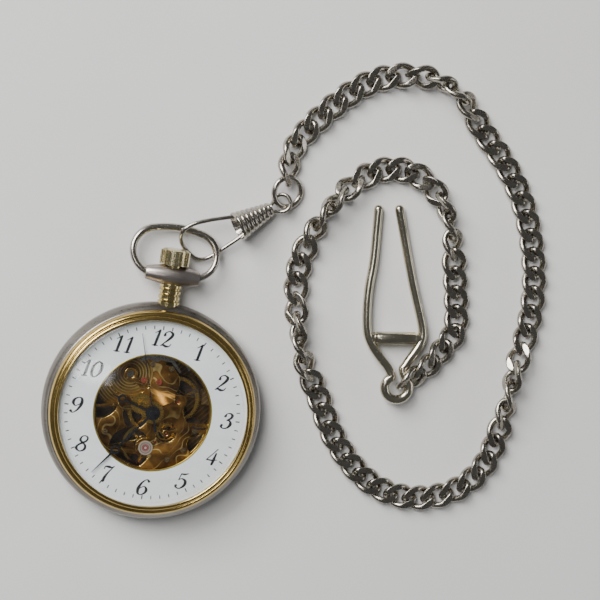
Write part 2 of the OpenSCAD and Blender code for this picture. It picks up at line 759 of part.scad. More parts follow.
// one wire: round the eye, through the sleeve, out to the loop and back along the upper side
eye_c = [20.9, 47.1, 1.9];
eye_r = 1.85;
ring_c = [21.7, 49.6, 2.0];
link_axis = 74;
hook_eye = [for (t = [95:-20:-165]) let (x = eye_r * cos(t), y = eye_r * sin(t) * cos(22), z = -eye_r * sin(t) * sin(22))
    eye_c + [x * cos(link_axis) - y * sin(link_axis), x * sin(link_axis) + y * cos(link_axis), z]];
hook_loop = spline([[19.1, 45.0, 1.85], [18.2, 44.3, 2.1], [16.0, 41.9, 2.6], [13.4, 38.9, 2.5], [11.3, 36.9, 1.9], [9.2, 34.9, 1.3], [7.6, 33.4, 1.1],
    [6.2, 32.7, 1.0], [4.9, 32.7, 1.1], [3.6, 33.3, 1.1], [2.1, 34.5, 1.2], [1.1, 35.6, 1.9], [0.7, 36.8, 2.6], [0.8, 38.2, 3.2],
    [1.8, 39.4, 3.5], [3.6, 40.5, 3.6], [6.4, 41.5, 3.6], [9.8, 42.5, 3.6], [12.6, 43.2, 3.4], [15.6, 44.3, 2.8]], 2);

module hook_wire() {
    color(steel) sweep(concat([[17.4, 45.3, 2.35], [18.5, 46.15, 2.3]], hook_eye, hook_loop), 0.45, 8);
}

module hook_sleeve() {
    n = 8;
    L = 8.4;
    color(steel) translate([12.0, 40.8, 3.3]) rotate(35.2) rotate([0, 90 + 9, 0]) difference() {
        rotate_extrude() polygon(concat([[0, 0]], [for (i = [0:n - 1]) for (p = [[0.12, 0.22], [0.3, 0], [0.78, 0], [0.94, 0.22]])
            let (x = (i + p[0]) / n) [3.25 - 1.75 * x - p[1], x * L]], [[0, L]]));
        translate([0, 0, -1]) cylinder(r1 = 2.9, r2 = 2.75, h = 1.6);
        translate([0, 0, 0.59]) cylinder(r1 = 2.6, r2 = 1.15, h = L);
    }
}

module jump_ring() {
    color(steel) translate(ring_c) rotate(link_axis) rotate([22, 0, 0]) rotate_extrude() translate([3.2, 0]) circle(r = 0.6);
}

// ---------- chain ----------

clip_eye = [51.9, 11.6, 2.75];
link_a = 3.12;
link_twist = -50;
// the first links stand in the jump ring and the last ones in the clip's eye: where the end pivot is from its centre,
// the direction of each link going outward, the height of each pivot and the roll of each link
head = [2.69, [96.24, 74.81, 54.44, 53.0], [2.45, 2.22, 1.75, 1.45], [39.01, 27.99, 16.38]];
tail = [1.49, [38.07, 47.28, 59.26, 60.93], [2.81, 2.55, 2.1, 1.54], [-40.52, -27.11, -15.76]];
end_pitch = 4.2;
function dir(a) = [cos(a), sin(a)];
function walk(p, a, i = 0) = i == len(a) ? [p] : concat([p], walk(p + end_pitch * dir(a[i]), a, i + 1));
head_p = walk([ring_c[0], ring_c[1]] + head[0] * dir(head[1][0]), head[1]);
tail_p = walk([clip_eye[0], clip_eye[1]] + tail[0] * dir(tail[1][0]), tail[1]);
// the line between them, laid over the table
route = concat([head_p[4]], [[30.5, 71], [34, 74.5], [38.5, 77], [43, 78], [46.5, 78.5], [51.5, 78],
    [56, 75.5], [59, 72], [62, 68.5], [66, 65], [69, 61.5], [72.5, 57], [75, 52], [77, 46.5], [78.5, 41.5], [79.5, 34.5], [79.5, 28],
    [78, 22], [77, 15], [77, 7.5], [76, -2], [72, -8], [66, -11.5], [58, -13], [50.5, -11], [45, -7], [39, 0], [36.5, 5.5], [34, 10],
    [31, 13.5], [29, 18.5], [28, 23], [27, 27.5], [26.5, 32.5], [27, 37.5], [28.5, 42.5], [30.5, 47], [33, 51], [36, 54], [38, 56],
    [41, 57.5], [45, 58.5], [48.5, 58], [52.5, 56], [55, 53], [57.5, 49], [59, 44.5], [60.5, 39.5], [61.8, 34], [62.8, 29]], [tail_p[4]]);
// links at which the chain rolls half a turn, and its pivots' extra height there
kinks = [9, 26, 46, 53, 61];
kink_z = [0.75, 1.55, 1.75, 1.55, 0.75];

route_s = concat(spline(route, 4), [tail_p[4]]);
route_d = [for (i = 0, s = 0; i < len(route_s); s = s + (i + 1 < len(route_s) ? norm(route_s[i + 1] - route_s[i]) : 0), i = i + 1) s];
route_x = [for (i = [0:len(route_s) - 1]) [route_d[i], route_s[i][0]]];
route_y = [for (i = [0:len(route_s) - 1]) [route_d[i], route_s[i][1]]];
route_l = route_d[len(route_d) - 1];
// the longest pitch near 4.23 that fills the line with whole links
mid_links = round(route_l / 4.23);
chain_pitch = route_l / mid_links;
links = mid_links + 8;

function past(k, from, n) = min(max(k - from + 1, 0), n);
function sum(v, i = 0) = i == len(v) ? 0 : v[i] + sum(v, i + 1);
function pivot_z(k) = k < 4 ? head[2][k] : k > links - 4 ? tail[2][links - k]
    : 1.25 + sum([for (q = kinks) let (j = k - q) j >= 0 && j <= 4 ? kink_z[j] : 0]);
function link_roll(k) = 36 * sum([for (q = kinks) past(k, q, 5)]) + (k < 3 ? head[3][k] : k > links - 4 ? tail[3][links - 1 - k] : 0);
function pivot_xy(k) = k < 4 ? head_p[k] : k > links - 4 ? tail_p[links - k]
    : [lookup((k - 4) * chain_pitch, route_x), lookup((k - 4) * chain_pitch, route_y)];
function pivot(k) = concat(pivot_xy(k), [pivot_z(k)]);

// one curb link: an oval of wire twisted about its length and ground flat above and below
module curb_link(rings = 12, sides = 8) {
    r = link_wire / 2;
    b = link_w / 2;
    function c(t) = let (x = link_a * cos(t), f = link_twist * cos(t), y = b * sin(t)) [x, y * cos(f), y * sin(f)];
    pts = [for (i = [0:rings - 1]) let (t = (i + 0.5) * 360 / rings, p = c(t), d = unit(c(t + 0.1) - c(t - 0.1)),
        f = link_twist * cos(t), n0 = [0, -sin(f), cos(f)], n = unit(n0 - (n0 * d) * d), m = cross(d, n))
        for (j = [0:sides - 1]) let (u = (j + 0.5) * 360 / sides, q = p + r * (cos(u) * n + sin(u) * m))
            [q[0], q[1], max(-link_h / 2, min(link_h / 2, q[2]))]];
    polyhedron(pts, [for (i = [0:rings - 1]) for (j = [0:sides - 1]) let (a = i * sides + j, b1 = i * sides + (j + 1) % sides,
        c1 = ((i + 1) % rings) * sides + (j + 1) % sides, d1 = ((i + 1) % rings) * sides + j)
        for (f = [[a, c1, b1], [a, d1, c1]]) f], convexity = 6);
}

module chain_run(k0, k1) {
    color(dark_steel) for (k = [k0:k1]) {
        p = pivot(k);
        q = pivot(k + 1);
        d = q - p;
        translate((p + q) / 2) rotate([link_roll(k), -atan2(d[2], norm([d[0], d[1]])), atan2(d[1], d[0])]) curb_link();
    }
}
// the first link of each run
starts = [0, 7, 16, 24, 32, 42, 52, 66];
module chain_segment_01() { chain_run(starts[0], starts[1] - 1); }
module chain_segment_02() { chain_run(starts[1], starts[2] - 1); }
module chain_segment_03() { chain_run(starts[2], starts[3] - 1); }
module chain_segment_04() { chain_run(starts[3], starts[4] - 1); }
module chain_segment_05() { chain_run(starts[4], starts[5] - 1); }
module chain_segment_06() { chain_run(starts[5], starts[6] - 1); }
module chain_segment_07() { chain_run(starts[6], starts[7] - 1); }
module chain_segment_08() { chain_run(starts[7], links - 1); }

// ---------- clip ----------

clip_left = [[42, 48.9, 1.0], [42.4, 43, 1.1], [42.8, 37.3, 1.3], [42.5, 33.4, 1.5], [42.6, 29, 1.7], [43.3, 23.6, 1.9], [44.2, 20.9, 2.1], [46.6, 18.0, 2.3], [49.6, 15.3, 2.5]];
clip_right = [[46.5, 49.6, 1.0], [49.3, 41.6, 1.2], [52.0, 34, 1.4], [54.7, 27.6, 1.7], [56.0, 24.2, 1.9], [56.0, 21.5, 2.1], [53.4, 17.3, 2.4], [52.6, 15.2, 2.5]];

module clip_wire() {
    r = clip_wire_d / 2;
    a = spline(clip_left, 2);
    b = spline(clip_right, 2);
    p = concat(a, [for (t = [125:29:416]) clip_eye + 2.7 * [cos(t), sin(t), 0]], [for (i = [len(b) - 1:-1:0]) b[i]]);
    n = len(p);
    u = unit(p[0] - p[1]);
    v = unit(p[n - 1] - p[n - 2]);
    tip = [[1, 0.15], [0.85, 0.53], [0.5, 0.87]];
    color(steel) sweep(concat([for (k = tip) p[0] + u * r * k[0]], p, [for (i = [2:-1:0]) p[n - 1] + v * r * tip[i][0]]),
        concat([for (k = tip) r * k[1]], [for (q = p) r], [for (i = [2:-1:0]) r * tip[i][1]]), 10);
}

// a tube rolled round a cross wire whose ends are brazed into the legs
module clip_bar() {
    p = [44.4, 21.35, 2.0];
    q = [55.8, 22.75, 2.0];
    l = norm(q - p);
    color(steel) translate(p) rotate(atan2(q[1] - p[1], q[0] - p[0])) rotate([0, 90, 0]) {
        difference() {
            translate([0, 0, 1.5]) cylinder(r = 1.4, h = l - 2.9);
            translate([0, 0, 1]) cylinder(r = 1.1, h = l);
            rotate(-90) translate([-0.1, 0, 0]) cube([0.2, 3, l]);
        }
        cylinder(r = 1.09, h = l);
    }
}

case_band();
case_back();
back_crystal();
front_bezel();
front_crystal();
pendant();
bow_yoke();
bow();
crown_gasket();
crown();
winding_stem();
dial();
dial_rim();
hour_hand();
minute_hand();
seconds_hand();
movement_ring();
main_plate();
barrel_bridge();
train_bridge();
balance_cock();
pallet_bridge();
movement_screws();
jewels();
shock_settings();
regulator();
hairspring();
click();
click_spring();
keyless_levers();
winding_pinion();
sliding_pinion();
crown_wheel();
ratchet_wheel();
barrel_arbor();
barrel();
mainspring();
centre_wheel();
cannon_pinion();
minute_wheel();
hour_wheel();
third_wheel();
fourth_wheel();
escape_wheel();
pallet_fork();
balance_wheel();
balance_staff();
hook_wire();
hook_sleeve();
jump_ring();
chain_segment_01();
chain_segment_02();
chain_segment_03();
chain_segment_04();
chain_segment_05();
chain_segment_06();
chain_segment_07();
chain_segment_08();
clip_wire();
clip_bar();
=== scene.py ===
import json
import math
import bpy
import numpy as np
from mathutils import Matrix, Vector


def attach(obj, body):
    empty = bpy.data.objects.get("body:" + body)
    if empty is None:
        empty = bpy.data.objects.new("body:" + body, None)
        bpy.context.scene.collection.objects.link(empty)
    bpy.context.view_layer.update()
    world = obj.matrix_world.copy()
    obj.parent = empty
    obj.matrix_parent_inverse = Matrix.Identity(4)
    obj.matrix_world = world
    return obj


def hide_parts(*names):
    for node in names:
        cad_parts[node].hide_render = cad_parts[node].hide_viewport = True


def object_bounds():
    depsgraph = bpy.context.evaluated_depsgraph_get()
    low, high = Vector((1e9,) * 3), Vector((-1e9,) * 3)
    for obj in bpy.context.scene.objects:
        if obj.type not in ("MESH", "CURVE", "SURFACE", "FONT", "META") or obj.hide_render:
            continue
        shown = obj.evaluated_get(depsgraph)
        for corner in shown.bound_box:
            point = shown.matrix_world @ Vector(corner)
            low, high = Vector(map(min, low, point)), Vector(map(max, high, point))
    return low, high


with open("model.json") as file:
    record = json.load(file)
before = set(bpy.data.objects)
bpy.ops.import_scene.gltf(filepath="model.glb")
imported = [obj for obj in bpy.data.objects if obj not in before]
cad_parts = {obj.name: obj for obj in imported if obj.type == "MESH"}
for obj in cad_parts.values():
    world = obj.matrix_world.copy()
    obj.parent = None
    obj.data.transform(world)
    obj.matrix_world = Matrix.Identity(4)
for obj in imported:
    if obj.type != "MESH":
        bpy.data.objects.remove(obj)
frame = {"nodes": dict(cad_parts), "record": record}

CAD_LO, CAD_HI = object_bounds()
NODES = frame["nodes"]
BODIES = frame["record"]["behaviour"]["bodies"]
MM = 0.001


def body_for(node):
    return next(b for b, members in BODIES.items() if node in members)


# ------------------------------------------------------------------ camera

cam_data = bpy.data.cameras.new("view")
cam = bpy.data.objects.new("view", cam_data)
bpy.context.scene.collection.objects.link(cam)
right, up, back = (0.9736, 0.1581, 0.1649), (-0.14, 0.9833, -0.1164), (-0.1805, 0.0902, 0.9794)
cam.matrix_world = Matrix(((right[0], up[0], back[0], -0.0374), (right[1], up[1], back[1], 0.0600), (right[2], up[2], back[2], 0.3570), (0, 0, 0, 1)))
cam_data.sensor_width = 36
cam_data.lens = 102
cam_data.clip_start, cam_data.clip_end = 0.01, 10
bpy.context.scene.camera = cam


# ------------------------------------------------------------------ mesh tools

def new_object(name, verts, faces, body, mat, replaces=(), smooth=True, angle=None):
    me = bpy.data.meshes.new(name)
    me.from_pydata([tuple(v) for v in verts], [], faces)
    me.update()
    if smooth:
        me.polygons.foreach_set("use_smooth", [True] * len(me.polygons))
        if angle is not None:
            me.set_sharp_from_angle(angle=math.radians(angle))
    ob = bpy.data.objects.new(name, me)
    bpy.context.scene.collection.objects.link(ob)
    ob.data.materials.append(mat)
    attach(ob, body)
    if replaces:
        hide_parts(*replaces)
    return ob


def catmull(points, k):
    """Points on a smooth line through every given point, k samples a span. The points may carry a width as a last number."""
    P = [np.array(p, float) for p in points]
    out = []
    for i in range(len(P) - 1):
        a, b, c, d = P[max(i - 1, 0)], P[i], P[i + 1], P[min(i + 2, len(P) - 1)]
        for j in range(k):
            t = j / k
            out.append(0.5 * (2 * b + (c - a) * t + (2 * a - 5 * b + 4 * c - d) * t * t + (3 * b - 3 * c + d - a) * t ** 3))
    out.append(P[-1])
    return out


def bspline(points, k):
    P = [np.array(p, float) for p in points]
    out = [P[0]]
    for i in range(len(P) - 1):
        a, b, c, d = P[max(i - 1, 0)], P[i], P[i + 1], P[min(i + 2, len(P) - 1)]
        for j in range(1, k + 1):
            t = j / k
            out.append(((1 - t) ** 3 * a + (3 * t ** 3 - 6 * t ** 2 + 4) * b + (-3 * t ** 3 + 3 * t ** 2 + 3 * t + 1) * c + t ** 3 * d) / 6)
    return out


def tube(points, radii, sides, transform=None):
    """A round tube with domed ends along a line of points, in millimetres; gives vertices in metres and faces."""
    P = [np.array(p, float) for p in points]
    n = len(P)
    R = list(radii) if hasattr(radii, "__len__") else [radii] * n
    tangents = []
    for i in range(n):
        t = P[min(i + 1, n - 1)] - P[max(i - 1, 0)]
        tangents.append(t / np.linalg.norm(t))
    # domed ends
    rings = []
    for s in (70, 45, 20):
        rings.append((P[0] - tangents[0] * R[0] * math.sin(math.radians(s)), R[0] * math.cos(math.radians(s)), tangents[0]))
    rings += [(P[i], R[i], tangents[i]) for i in range(n)]
    for s in (20, 45, 70):
        rings.append((P[-1] + tangents[-1] * R[-1] * math.sin(math.radians(s)), R[-1] * math.cos(math.radians(s)), tangents[-1]))
    u = np.array([0, 0, 1.0]) if abs(rings[0][2][2]) < 0.9 else np.array([1.0, 0, 0])
    verts = []
    for c, r, t in rings:
        u = u - (u @ t) * t
        u = u / np.linalg.norm(u)
        v = np.cross(t, u)
        for j in range(sides):
            a = 2 * math.pi * j / sides
            verts.append(c + r * (math.cos(a) * u + math.sin(a) * v))
    m = len(rings)
    faces = [(i * sides + j, i * sides + (j + 1) % sides, (i + 1) * sides + (j + 1) % sides, (i + 1) * sides + j) for i in range(m - 1) for j in range(sides)]
    faces.append(tuple(range(sides - 1, -1, -1)))
    faces.append(tuple((m - 1) * sides + j for j in range(sides)))
    V = np.array(verts)
    if transform is not None:
        V = V @ transform[:3, :3].T + transform[:3, 3]
    return V * MM, faces


def lathe(profile, seg, transform=None, closed=True):
    """A closed outline of [radius, height] points turned about Z, in millimetres."""
    n = len(profile)
    verts = []
    for i in range(seg):
        a = 2 * math.pi * i / seg
        for r, z in profile:
            verts.append((r * math.cos(a), r * math.sin(a), z))
    faces = []
    last = n if closed else n - 1
    for i in range(seg):
        for j in range(last):
            a, b = i * n + j, i * n + (j + 1) % n
            c, d = ((i + 1) % seg) * n + (j + 1) % n, ((i + 1) % seg) * n + j
            faces.append((a, d, c, b))
    V = np.array(verts)
    if transform is not None:
        V = V @ transform[:3, :3].T + transform[:3, 3]
    return V * MM, faces


def rounded(outline, radius, steps=3):
    """The outline with each corner replaced by a small arc."""
    out = []
    n = len(outline)
    for i in range(n):
        p, a, b = (np.array(outline[k % n], float) for k in (i, i - 1, i + 1))
        da, db = a - p, b - p
        la, lb = np.linalg.norm(da), np.linalg.norm(db)
        r = min(radius, la * 0.4, lb * 0.4)
        s, e = p + da / la * r, p + db / lb * r
        for k in range(steps + 1):
            t = k / steps
            out.append(tuple((1 - t) ** 2 * s + 2 * t * (1 - t) * p + t * t * e))
    return out


def arc(deg):
    return math.radians(deg)


def rot(axis, degrees):
    return np.array(Matrix.Rotation(math.radians(degrees), 4, axis))


def shift(x, y, z):
    return np.array(Matrix.Translation((x, y, z)))


def join(parts):
    V, F, base = [], [], 0
    for v, f in parts:
        V.append(v)
        F += [tuple(i + base for i in face) for face in f]
        base += len(v)
    return np.vstack(V), F


# ------------------------------------------------------------------ materials

class Nodes:
    """A short way to lay out a material's nodes."""

    def __init__(self, name):
        self.mat = bpy.data.materials.new(name)
        self.mat.use_nodes = True
        self.tree = self.mat.node_tree
        self.tree.nodes.clear()
        self.out = self.add("ShaderNodeOutputMaterial")
        self.coord = self.add("ShaderNodeTexCoord").outputs["Object"]

    def add(self, kind, **values):
        node = self.tree.nodes.new(kind)
        for key, value in values.items():
            if hasattr(node, key):
                setattr(node, key, value)
        return node

    def link(self, a, b):
        self.tree.links.new(a, b)

    def scaled(self, scale, turn=0.0, place=(0, 0, 0)):
        m = self.add("ShaderNodeMapping")
        m.inputs["Scale"].default_value = scale if hasattr(scale, "__len__") else (scale,) * 3
        m.inputs["Rotation"].default_value = (0, 0, math.radians(turn))
        m.inputs["Location"].default_value = place
        self.link(self.coord, m.inputs["Vector"])
        return m.outputs["Vector"]

    def noise(self, scale, detail=3.0, vector=None, rough=0.5, distortion=0.0):
        n = self.add("ShaderNodeTexNoise")
        n.inputs["Scale"].default_value = scale
        n.inputs["Detail"].default_value = detail
        n.inputs["Roughness"].default_value = rough
        n.inputs["Distortion"].default_value = distortion
        self.link(vector if vector is not None else self.coord, n.inputs["Vector"])
        return n.outputs["Fac"]

    def ramp(self, fac, stops):
        r = self.add("ShaderNodeValToRGB")
        e = r.color_ramp.elements
        while len(e) < len(stops):
            e.new(0.5)
        for el, (pos, col) in zip(e, stops):
            el.position = pos
            el.color = (*col, 1) if len(col) == 3 else col
        self.link(fac, r.inputs["Fac"])
        return r.outputs["Color"]

    def span(self, fac, lo, hi, a=0.0, b=1.0):
        m = self.add("ShaderNodeMapRange")
        m.inputs["From Min"].default_value = a
        m.inputs["From Max"].default_value = b
        m.inputs["To Min"].default_value = lo
        m.inputs["To Max"].default_value = hi
        self.link(fac, m.inputs["Value"])
        return m.outputs["Result"]

    def math(self, op, a, b=None, clamp=False):
        m = self.add("ShaderNodeMath", operation=op)
        m.use_clamp = clamp
        for i, x in enumerate((a, b)):
            if x is None:
                continue
            if isinstance(x, (int, float)):
                m.inputs[i].default_value = x
            else:
                self.link(x, m.inputs[i])
        return m.outputs[0]

    def mix(self, fac, a, b, blend="MIX"):
        m = self.add("ShaderNodeMix")
        m.data_type = "RGBA"
        m.blend_type = blend
        if isinstance(fac, (int, float)):
            m.inputs[0].default_value = fac
        else:
            self.link(fac, m.inputs[0])
        for sock, x in ((m.inputs[6], a), (m.inputs[7], b)):
            if isinstance(x, tuple):
                sock.default_value = (*x, 1)
            else:
                self.link(x, sock)
        return m.outputs[2]

    def bump(self, height, strength, distance, normal=None):
        b = self.add("ShaderNodeBump")
        b.inputs["Strength"].default_value = strength
        b.inputs["Distance"].default_value = distance
        self.link(height, b.inputs["Height"])
        if normal is not None:
            self.link(normal, b.inputs["Normal"])
        return b.outputs["Normal"]

    def surface(self, color, rough, metallic=1.0, normal=None, **extra):
        p = self.add("ShaderNodeBsdfPrincipled")
        for sock, x in (("Base Color", color), ("Roughness", rough), ("Metallic", metallic)):
            if isinstance(x, tuple):
                p.inputs[sock].default_value = (*x, 1)
            elif isinstance(x, (int, float)):
                p.inputs[sock].default_value = x
            else:
                self.link(x, p.inputs[sock])
        if normal is not None:
            self.link(normal, p.inputs["Normal"])
        for k, v in extra.items():
            p.inputs[k.replace("_", " ")].default_value = v
        self.link(p.outputs[0], self.out.inputs["Surface"])
        return p


def tone(c, f):
    return tuple(min(1.0, x * f) for x in c)


def metal(name, base, rough=(0.18, 0.34), vary=0.16, tarnish=None, scratch=0.25, grain=900, wear=0.5, brushed=None):
    """A worn, polished metal: slow colour drift, darker tarnish in patches, fine scratches and small dents."""
    n = Nodes(name)
    slow = n.noise(260, 3.0)
    fine = n.noise(grain * 3, 4.0, rough=0.7)
    col = n.ramp(slow, [(0.3, tone(base, 1 - vary)), (0.7, tone(base, 1 + vary * 0.6))])
    if tarnish is not None:
        patch = n.noise(420, 5.0, rough=0.65, distortion=0.6)
        col = n.mix(n.span(patch, 0.0, wear, 0.46, 0.68), col, tarnish)
    streak = n.noise(1.0, 2.0, vector=n.scaled(brushed or (700, 5200, 2200), 18))
    r = n.math("ADD", n.span(fine, rough[0], rough[1], 0.3, 0.7), n.span(streak, 0, 0.06, 0.4, 0.7), clamp=True)
    nrm = n.bump(streak, scratch * 0.5, 0.00002)
    nrm = n.bump(n.noise(420, 2.0), 0.05, 0.00006, nrm)
    nrm = n.bump(fine, scratch * 0.35, 0.00001, nrm)
    n.surface(col, r, 1.0, nrm)
    return n.mat


steel = metal("case_steel", (0.27, 0.25, 0.225), rough=(0.24, 0.34), tarnish=(0.21, 0.19, 0.17), wear=0.25, scratch=0.08)
bow_steel = metal("bow_steel", (0.54, 0.50, 0.44), rough=(0.14, 0.26), tarnish=(0.38, 0.35, 0.30), wear=0.3, scratch=0.1)
yoke_steel = metal("yoke_steel", (0.60, 0.54, 0.50), rough=(0.26, 0.36), tarnish=(0.46, 0.40, 0.37), wear=0.3, scratch=0.05)
hook_steel = metal("hook_steel", (0.50, 0.465, 0.41), rough=(0.14, 0.25), tarnish=(0.34, 0.31, 0.27), wear=0.3, scratch=0.1)
clip_steel = metal("clip_metal", (0.62, 0.575, 0.455), rough=(0.14, 0.24), tarnish=(0.46, 0.415, 0.315), wear=0.3, scratch=0.08)
chain_steel = metal("chain_metal", (0.43, 0.40, 0.345), rough=(0.16, 0.30), tarnish=(0.25, 0.225, 0.19), wear=0.35, scratch=0.15)
gold = metal("gold_plate", (0.66, 0.475, 0.17), rough=(0.12, 0.22), tarnish=(0.46, 0.32, 0.11), wear=0.25, scratch=0.1)
pendant_gold = metal("pendant_gold", (0.72, 0.60, 0.30), rough=(0.12, 0.22), tarnish=(0.50, 0.41, 0.20), wear=0.3, scratch=0.1)
rim_gold = metal("rim_gold", (0.98, 0.74, 0.16), rough=(0.26, 0.34), tarnish=(0.80, 0.56, 0.10), wear=0.25, scratch=0.08)
crown_gold = metal("crown_gold", (0.72, 0.64, 0.40), rough=(0.16, 0.26), tarnish=(0.52, 0.45, 0.28), wear=0.25, scratch=0.08)
spring_steel = metal("spring_steel", (0.16, 0.18, 0.26), rough=(0.2, 0.35), vary=0.1)
move_steel = metal("movement_steel", (0.36, 0.34, 0.31), rough=(0.2, 0.36), vary=0.12)
screw_steel = metal("screw_steel", (0.58, 0.44, 0.24), rough=(0.16, 0.3), vary=0.12)
wheel_brass = metal("wheel_brass", (0.84, 0.54, 0.14), rough=(0.18, 0.34), tarnish=(0.55, 0.33, 0.12), wear=0.4)


def gilt(name, base, deep, line, pattern, lines=1.0):
    """Gilt movement plates: deep amber ground with engraved work whose raised lines are painted in a bright highlight
    colour as well as raised by bump.
    """
    n = Nodes(name)
    slow = n.noise(300, 4.0, rough=0.6)
    col = n.ramp(slow, [(0.36, deep), (0.62, base)])
    w = n.add("ShaderNodeTexWave")
    if pattern == "scroll":
        w.wave_type, w.rings_direction = "RINGS", "Z"
        w.inputs["Scale"].default_value = 150
        w.inputs["Distortion"].default_value = 22
        w.inputs["Detail"].default_value = 1.2
        w.inputs["Detail Scale"].default_value = 1.1
        n.link(n.scaled(1.0, 0, (0.0021, 0.0013, 0)), w.inputs["Vector"])
        engraving_and_highlight = n.span(w.outputs["Fac"], 0, 1, 0.90, 0.985)
    elif pattern == "arc":
        w.wave_type, w.rings_direction = "RINGS", "Z"
        w.inputs["Scale"].default_value = 520
        w.inputs["Distortion"].default_value = 0.5
        n.link(n.scaled(1.0, 0, (0.0056, -0.0073, 0)), w.inputs["Vector"])
        engraving_and_highlight = n.span(w.outputs["Fac"], 0, 1, 0.55, 0.9)
    else:
        w.wave_type, w.bands_direction = "BANDS", "X"
        w.inputs["Scale"].default_value = 380
        w.inputs["Distortion"].default_value = 1.2
        n.link(n.scaled(1.0, 42), w.inputs["Vector"])
        engraving_and_highlight = n.span(w.outputs["Fac"], 0, 1, 0.6, 0.95)
    where = n.span(n.noise(220, 2.0), 0.15, 1.0, 0.42, 0.6)
    engraving_and_highlight = n.math("MULTIPLY", n.math("MULTIPLY", engraving_and_highlight, where), lines)
    # painted highlight: the bright line colour is mixed in along the engraved pattern, standing in for the light its
    # raised lines catch
    col = n.mix(engraving_and_highlight, col, line)
    fine = n.noise(3600, 4.0, rough=0.7)
    nrm = n.bump(engraving_and_highlight, 0.35, 0.00006)
    nrm = n.bump(n.noise(700, 3.0), 0.25, 0.00010, nrm)
    nrm = n.bump(fine, 0.10, 0.00002, nrm)
    n.surface(col, n.span(fine, 0.34, 0.48, 0.3, 0.7), 1.0, nrm)
    return n.mat


# the third colour of each finish is the painted highlight of its engraved lines
plate_gilt = gilt("plate_gilt", (0.40, 0.20, 0.045), (0.13, 0.058, 0.014), (0.95, 0.72, 0.28), "scroll", 0.8)
bridge_gilt = gilt("bridge_gilt", (0.20, 0.13, 0.06), (0.07, 0.045, 0.025), (0.48, 0.34, 0.15), "stripe", 0.45)
cock_gilt = gilt("cock_gilt", (0.36, 0.19, 0.06), (0.14, 0.07, 0.02), (0.80, 0.58, 0.24), "scroll", 0.6)
barrel_gilt = gilt("barrel_gilt", (0.42, 0.26, 0.07), (0.17, 0.10, 0.03), (0.90, 0.68, 0.26), "arc", 0.7)
edge_gold = metal("edge_gold", (0.95, 0.68, 0.20), rough=(0.10, 0.2), vary=0.08, scratch=0.1)


def enamel():
    n = Nodes("dial_enamel")
    fine = n.noise(5200, 3.0)
    slow = n.noise(120, 2.0)
    col = n.ramp(slow, [(0.3, (0.78, 0.82, 0.86)), (0.7, (0.83, 0.87, 0.91))])
    n.surface(col, n.span(fine, 0.34, 0.46, 0.3, 0.7), 0.0, n.bump(fine, 0.05, 0.00001), Coat_Weight=0.15, Coat_Roughness=0.1)
    return n.mat


def lacquer(name, base, rough=0.28, vary=0.3):
    n = Nodes(name)
    fine = n.noise(4200, 3.0)
    col = n.ramp(n.noise(900, 2.0), [(0.3, tone(base, 1 - vary)), (0.7, tone(base, 1 + vary))])
    n.surface(col, n.span(fine, rough * 0.8, rough * 1.3, 0.3, 0.7), 0.0, n.bump(fine, 0.08, 0.00001))
    return n.mat


def glass(name, tint=(0.985, 0.99, 0.985), smudge=0.035):
    """Clear crystal: what is behind shows through, with reflections by angle and faint wiping marks."""
    n = Nodes(name)
    n.mat.use_backface_culling = False
    clear = n.add("ShaderNodeBsdfTransparent")
    clear.inputs["Color"].default_value = (*tint, 1)
    gloss = n.add("ShaderNodeBsdfGlossy")
    gloss.inputs["Color"].default_value = (1, 1, 1, 1)
    mark = n.noise(1.0, 3.0, vector=n.scaled((90, 420, 200), 35), rough=0.6)
    n.link(n.span(mark, 0.10, 0.17, 0.35, 0.7), gloss.inputs["Roughness"])
    edge = n.add("ShaderNodeLayerWeight")
    edge.inputs["Blend"].default_value = 0.5
    grazing = n.math("MULTIPLY", n.math("POWER", edge.outputs["Facing"], 4.0), 0.75)
    fac = n.math("ADD", n.math("ADD", grazing, 0.03), n.span(mark, 0.0, smudge, 0.5, 0.75), clamp=True)
    m = n.add("ShaderNodeMixShader")
    n.link(fac, m.inputs[0])
    n.link(clear.outputs[0], m.inputs[1])
    n.link(gloss.outputs[0], m.inputs[2])
    n.link(m.outputs[0], n.out.inputs["Surface"])
    return n.mat


def ruby():
    n = Nodes("ruby")
    col = n.ramp(n.noise(2600, 2.0), [(0.3, (0.12, 0.02, 0.015)), (0.7, (0.26, 0.05, 0.03))])
    n.surface(col, n.span(n.noise(4000, 2.0), 0.04, 0.12), 0.0, None, Coat_Weight=0.8)
    return n.mat




def setting():
    """Polished setting ring with the cap jewel of the balance in its middle."""
    n = Nodes("shock_setting")
    flat = n.add("ShaderNodeVectorMath")
    flat.operation = "MULTIPLY"
    flat.inputs[1].default_value = (1, 1, 0)
    n.link(n.scaled(1.0, 0, (0.0003, 0.0077, 0)), flat.inputs[0])
    far = n.add("ShaderNodeVectorMath")
    far.operation = "LENGTH"
    n.link(flat.outputs["Vector"], far.inputs[0])
    out = n.math("MULTIPLY", far.outputs["Value"], 1000.0)
    fine = n.noise(3200, 3.0)
    col = n.ramp(n.math("MULTIPLY", out, 0.5), [(0.10, (0.62, 0.48, 0.46)), (0.16, (0.20, 0.04, 0.04)), (0.30, (0.42, 0.15, 0.14)), (0.36, (0.16, 0.09, 0.06)),
                                               (0.42, (0.48, 0.41, 0.36)), (0.52, (0.34, 0.26, 0.21)), (0.56, (0.14, 0.09, 0.06)), (0.62, (0.44, 0.38, 0.33))])
    n.surface(col, n.span(fine, 0.42, 0.55, 0.3, 0.7), 0.5, n.bump(fine, 0.05, 0.00001))
    return n.mat


shock_steel = setting()
enamel_white = enamel()
hand_black = lacquer("hand_black", (0.012, 0.012, 0.014), 0.22)
print_black = lacquer("print_black", (0.018, 0.018, 0.022), 0.5)
rubber = lacquer("gasket_rubber", (0.03, 0.03, 0.03), 0.6)
crystal_glass = glass("crystal")
# painted shade: the back crystal's grey-brown tint darkens the floor seen through the movement's openings, where
# little light reaches under the watch
back_glass_painted_shade = glass("back_crystal_glass_painted_shade", (0.66, 0.60, 0.56), 0.05)
ruby_red = ruby()

